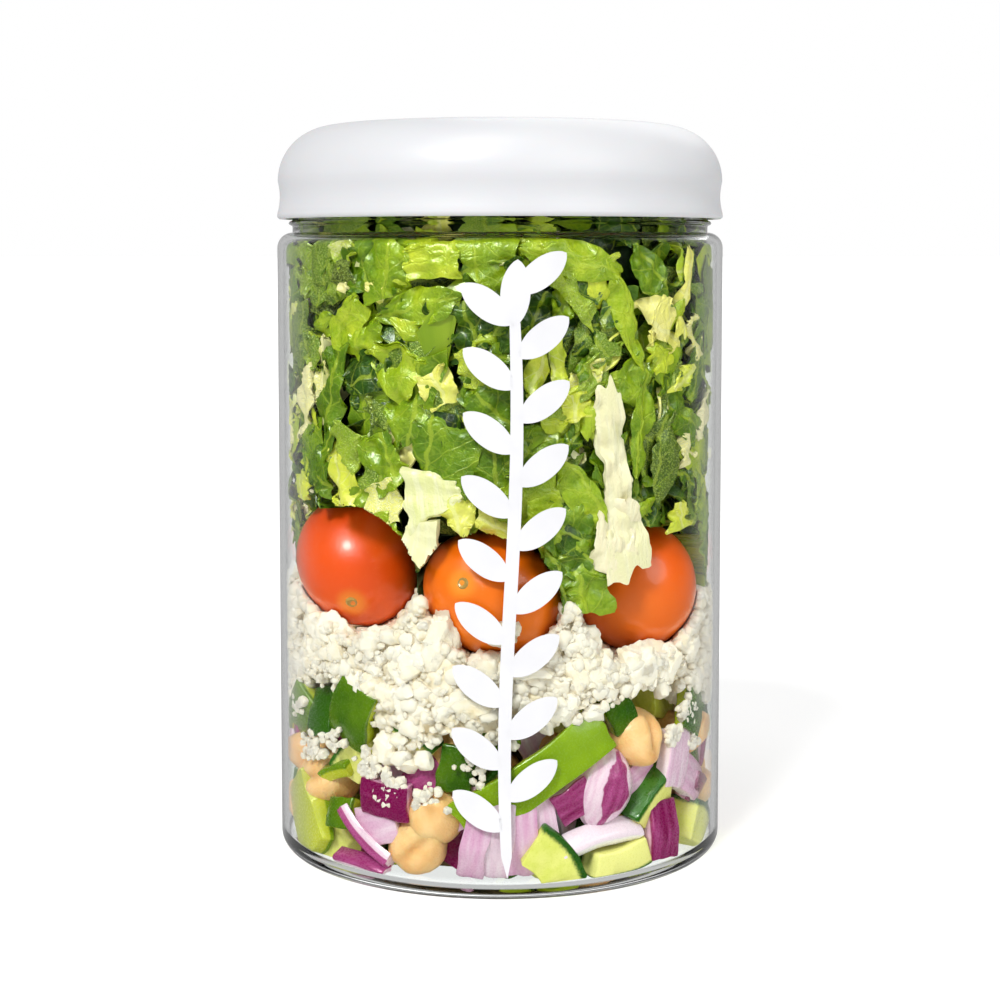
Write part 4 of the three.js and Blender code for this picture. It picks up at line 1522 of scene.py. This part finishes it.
def free_spot(spot, radius, closeness):
    """True where a ball fits between those already laid."""
    return all((spot - other).length > (radius + size) * closeness for other, size in taken)


def base_height(index, bearing):
    return spread(index, FLOOR_Z + 5.5, cheese_floor(bearing) - 3.0)


for index in range(420):
    bearing = turned_to(index)
    layer = index % 2
    if near_front(bearing) and not layer:
        continue
    radius = CHICKPEA_R * rng.uniform(0.9, 1.06)
    height = base_height(index, bearing)
    depth = radius + (rng.uniform(0.0, 1.0) if not layer else rng.uniform(6.0, 9.0))
    place = at_wall(bearing, height, depth)
    if not free_spot(place.to_translation(), radius, 1.0 if layer else 1.12):
        continue
    form = rng.choice(back_forms)
    # Painted shade: the back layer gets tones a quarter lower for its depth.
    tone = rng.uniform(0.35, 0.65) - 0.25 * layer
    chickpeas.drop(form, place @ Matrix.Scale(radius, 4) @ any_turn(rng), tone, settler(0.1))
    taken.append((place.to_translation(), radius * 1.1))
chickpeas.piece("chickpeas", chickpea_skin(), "chickpea", "base_mix")

# %% Vegetables, listed one by one
def lay_slabs(pile, rows, rng, **style):
    """Lays listed slabs: bearing, height, depth, length, width, thickness, turns, arch, tone."""
    for bearing, height, depth, length, width, thick, turn, tip, roll, arch, tone in rows:
        form = slab(length, width, thick, rng, arch=arch, bow=arch * 0.5, **style)
        place = at_wall(bearing, height, depth + thick / 2, turn, tip, roll)
        pile.drop(form, place, tone, settler(0.12 + 0.3 * depth))


FRONT_PEPPERS = (
    (278.5, 24.3, 0.1, 34, 8.8, 3.4, 33, 0, 0, 0.75, 0.75),
    (228.5, 34.6, 0.2, 13, 10, 3.2, 64, 0, -8, 0.6, 0.3),
    (214, 33.0, 1.6, 10, 7, 3.0, 100, 10, 20, 0.5, 0.1),
    (331, 33.6, 0.3, 11, 7, 3.0, 60, 0, 10, 0.4, 0.25),
    (208, 11.0, 0.4, 17, 11, 4.2, -52, 180, 0, 0.5, 0.6),
    (223, 13.2, 1.2, 7, 6, 3.2, 10, -20, 0, 0.4, 0.35),
    (258.5, 25.5, 2.4, 9, 7, 3.2, 80, 0, 0, 0.4, 0.2),
    (219, 22.5, 3.2, 9, 6, 3.2, 20, -60, 0, 0.4, 0.5),
    (240, 9.5, 4.6, 10, 7, 3.4, 40, -30, 0, 0.4, 0.0),
    (345, 33.0, 1.0, 9, 7, 3.2, 10, 0, 0, 0.4, 0.2),
    (343, 20.0, 2.6, 9, 6, 3.2, 100, 0, 0, 0.4, 0.3),
    (268, 33.0, 3.6, 10, 7, 3.2, 10, 0, 0, 0.4, 0.3),
    (304, 35.5, 2.6, 8, 6, 3.2, 120, 0, 0, 0.4, 0.25),
)
FRONT_ONIONS = (
    (239.5, 18.6, 0.2, 10.5, 7.2, 3.4, -4, 14, 0, 0.3, 0.05),
    (232, 9.6, 0.4, 15, 5, 2.6, -36, 50, 0, 0.5, 0.6),
    (289.5, 19.0, 1.6, 8, 7, 3.0, 30, 10, 0, 0.5, 0.45),
    (317, 10.0, 0.3, 11.5, 8, 3.8, 84, 0, 12, 0.3, 0.3),
    (337, 15.2, 1.0, 9, 6.5, 3.0, -30, 20, 10, 0.4, 0.1),
    (231, 4.6, 0.4, 13, 4.2, 2.0, -6, -62, 0, 0.5, 0.5),
    (196, 29.5, 1.0, 9, 7, 3.0, 70, 0, 0, 0.5, 0.5),
    (249, 22.5, 3.4, 9, 7, 3.0, 40, 0, 0, 0.5, 0.6),
    (204, 5.0, 2.0, 9, 5, 2.4, 10, -50, 0, 0.4, 0.3),
)
FRONT_PALE_ONIONS = (
    (263.5, 10.4, 0.3, 15, 5, 3.2, 78, 0, -24, 0.6, 0.4),
    (269.5, 11.6, 0.6, 16, 5.5, 3.2, 84, 0, -16, 0.7, 0.7),
    (275.8, 12.6, 0.9, 17, 5.5, 3.2, 92, 0, -8, 0.8, 0.4),
    (281.5, 13.6, 1.8, 14, 5, 3.0, 100, 0, 0, 0.7, 0.6),
    (236, 12.6, 1.6, 9, 8, 3.0, 20, 0, 0, 0.5, 0.5),
    (322.7, 24.2, 0.4, 11.5, 6.6, 3.2, 78, 0, 0, 0.35, 0.6),
    (297, 11.6, 0.8, 18, 4.6, 3.0, 8, -50, 0, 0.9, 1.0),
    (262, 17.5, 3.6, 9, 7, 3.0, 20, 0, 0, 0.5, 0.4),
    (312, 20.5, 4.0, 9, 7, 3.0, 20, 0, 0, 0.5, 0.4),
)
FRONT_CUCUMBERS = (
    (283.7, 7.6, 0.4, 11.5, 10.5, 9.0, -52, -90, 0, 0.7, 0.5),
    (315.5, 16.4, 1.6, 12, 9, 9.5, 36, -80, 0, 0.7, 0.7),
    (337, 8.4, 0.4, 10, 9, 8.5, -32, -86, 0, 0.7, 0.5),
    (303, 5.8, 0.5, 13, 6, 6.0, 10, 100, 0, 0.4, 1.0),
    (226, 26.0, 3.8, 11, 9, 8.0, 40, -80, 0, 0.7, 0.7),
    (244, 30.0, 4.0, 11, 9, 8.0, -20, -80, 0, 0.7, 0.8),
    (268, 20.0, 5.0, 11, 9, 8.0, 60, -80, 0, 0.7, 0.7),
    (216, 7.0, 3.0, 10, 8, 8.0, 60, -80, 0, 0.7, 0.6),
)
rng = random.Random(44)
peppers = Pile()
onions = Pile()
pale_onions = Pile()
cucumbers = Pile()
lay_slabs(peppers, FRONT_PEPPERS, rng, steps=(16, 8))
lay_slabs(onions, FRONT_ONIONS, rng, edge=0.25, steps=(10, 7))
lay_slabs(pale_onions, FRONT_PALE_ONIONS, rng, edge=0.25, steps=(12, 6))
lay_slabs(cucumbers, FRONT_CUCUMBERS, rng, edge=0.5, steps=(9, 9))

# %% The round onion heart at the front
def onion_heart(rng):
    """A whole small onion heart: an egg of flesh with a torn patch of purple skin."""
    shape = new_shape()
    bmesh.ops.create_uvsphere(shape, u_segments=40, v_segments=28, radius=1.0)
    grain, rind = notes(shape)
    for vert in shape.verts:
        x, y, z = vert.co
        torn = 0.22 * bumps(x * 2.5, y * 2.5, 3.0)
        patch = between(0.62, 0.42, abs(x - 0.12) + 0.42 * abs(y) + torn)
        ridge = 0.02 * math.sin(11.0 * math.atan2(x, z))
        vert[grain] = Vector((y * 8.0, x * 6.0, z * 5.0))
        vert[rind] = 0.55 + 0.4 * patch if z > 0.0 else 0.3
        slim = 1.0 - 0.22 * y * y
        vert.co = Vector((x * slim * 6.4, y * 8.2, z * slim * 4.4)) * (1.0 + ridge + 0.02 * patch)
    return as_form(shape)


onions.drop(onion_heart(rng), at_wall(299, 20.4, 4.3, -18), 0.5, settler(0.12))

# %% Vegetables round the back and behind
MIXES = (
    (peppers, (9, 15), (6, 9), 3.3, (0.1, 0.7)),
    (onions, (8, 12), (6, 8), 3.0, (0.05, 0.7)),
    (cucumbers, (9, 12), (8, 10), 8.0, (0.3, 0.8)),
    (pale_onions, (8, 13), (5, 8), 3.0, (0.3, 0.9)),
    (peppers, (7, 12), (6, 8), 3.3, (0.1, 0.5)),
)
laid = {"near": 0, "deep": 0}
for index in range(520):
    pile, lengths, widths, thick, tones = MIXES[index % len(MIXES)]
    bearing = turned_to(index, 40.0)
    deep = index % 3 == 0
    if near_front(bearing) and not deep:
        continue
    height = spread(index, FLOOR_Z + 3.5, cheese_floor(bearing) - 1.5)
    length = rng.uniform(*lengths)
    depth = rng.uniform(7.0, 9.5) if deep else rng.uniform(0.2, 2.4)
    place = at_wall(bearing, height, depth + thick / 2)
    radius = 0.36 * length
    if not free_spot(place.to_translation(), radius, 0.86 if not deep else 0.7):
        continue
    turn = Matrix.Rotation(rng.uniform(0, FULL_TURN), 4, "Z")
    if pile is cucumbers:
        turn = turn @ Matrix.Rotation(-1.5, 4, "X")
    else:
        turn = turn @ Matrix.Rotation(rng.uniform(-0.7, 0.7), 4, "X")
    form = slab(length, rng.uniform(*widths), thick, rng, arch=0.5, steps=(7, 5))
    pile.drop(form, place @ turn, rng.uniform(*tones), settler(0.12 + 0.3 * depth))
    taken.append((place.to_translation(), radius))
    laid["deep" if deep else "near"] += 1
peppers.piece("green_peppers", pepper_green, "green_pepper", "base_mix")
onions.piece("red_onions", onion_red, "red_onion", "base_mix")
pale_onions.piece("pale_onions", onion_pale, "red_onion", "base_mix")
cucumbers.piece("cucumbers", cucumber_green, "cucumber", "base_mix")
print("vegetable pieces laid by turns:", laid)

# %% Core of the bottom layer
base_shade_core = Pile()
base_shade_core.drop(
    as_form(core_column(
        32.0, lambda b: FLOOR_Z + 0.4, lambda b: cheese_floor(b) + 1.0, 22, 100,
        lambda spot: 2.5 * noise.noise(spot * 0.15),
    )),
    AS_IT_IS, 0.2,
)
# Painted shade: these dark browns stand for the shadow between the chickpeas and vegetables.
painted_shade_brown = painted_shade_finish("painted_shade_brown", (0.035, 0.03, 0.01), (0.16, 0.11, 0.04), 0.2)
base_shade_core.piece("base_shade_core", painted_shade_brown, "chickpea", "base_mix")
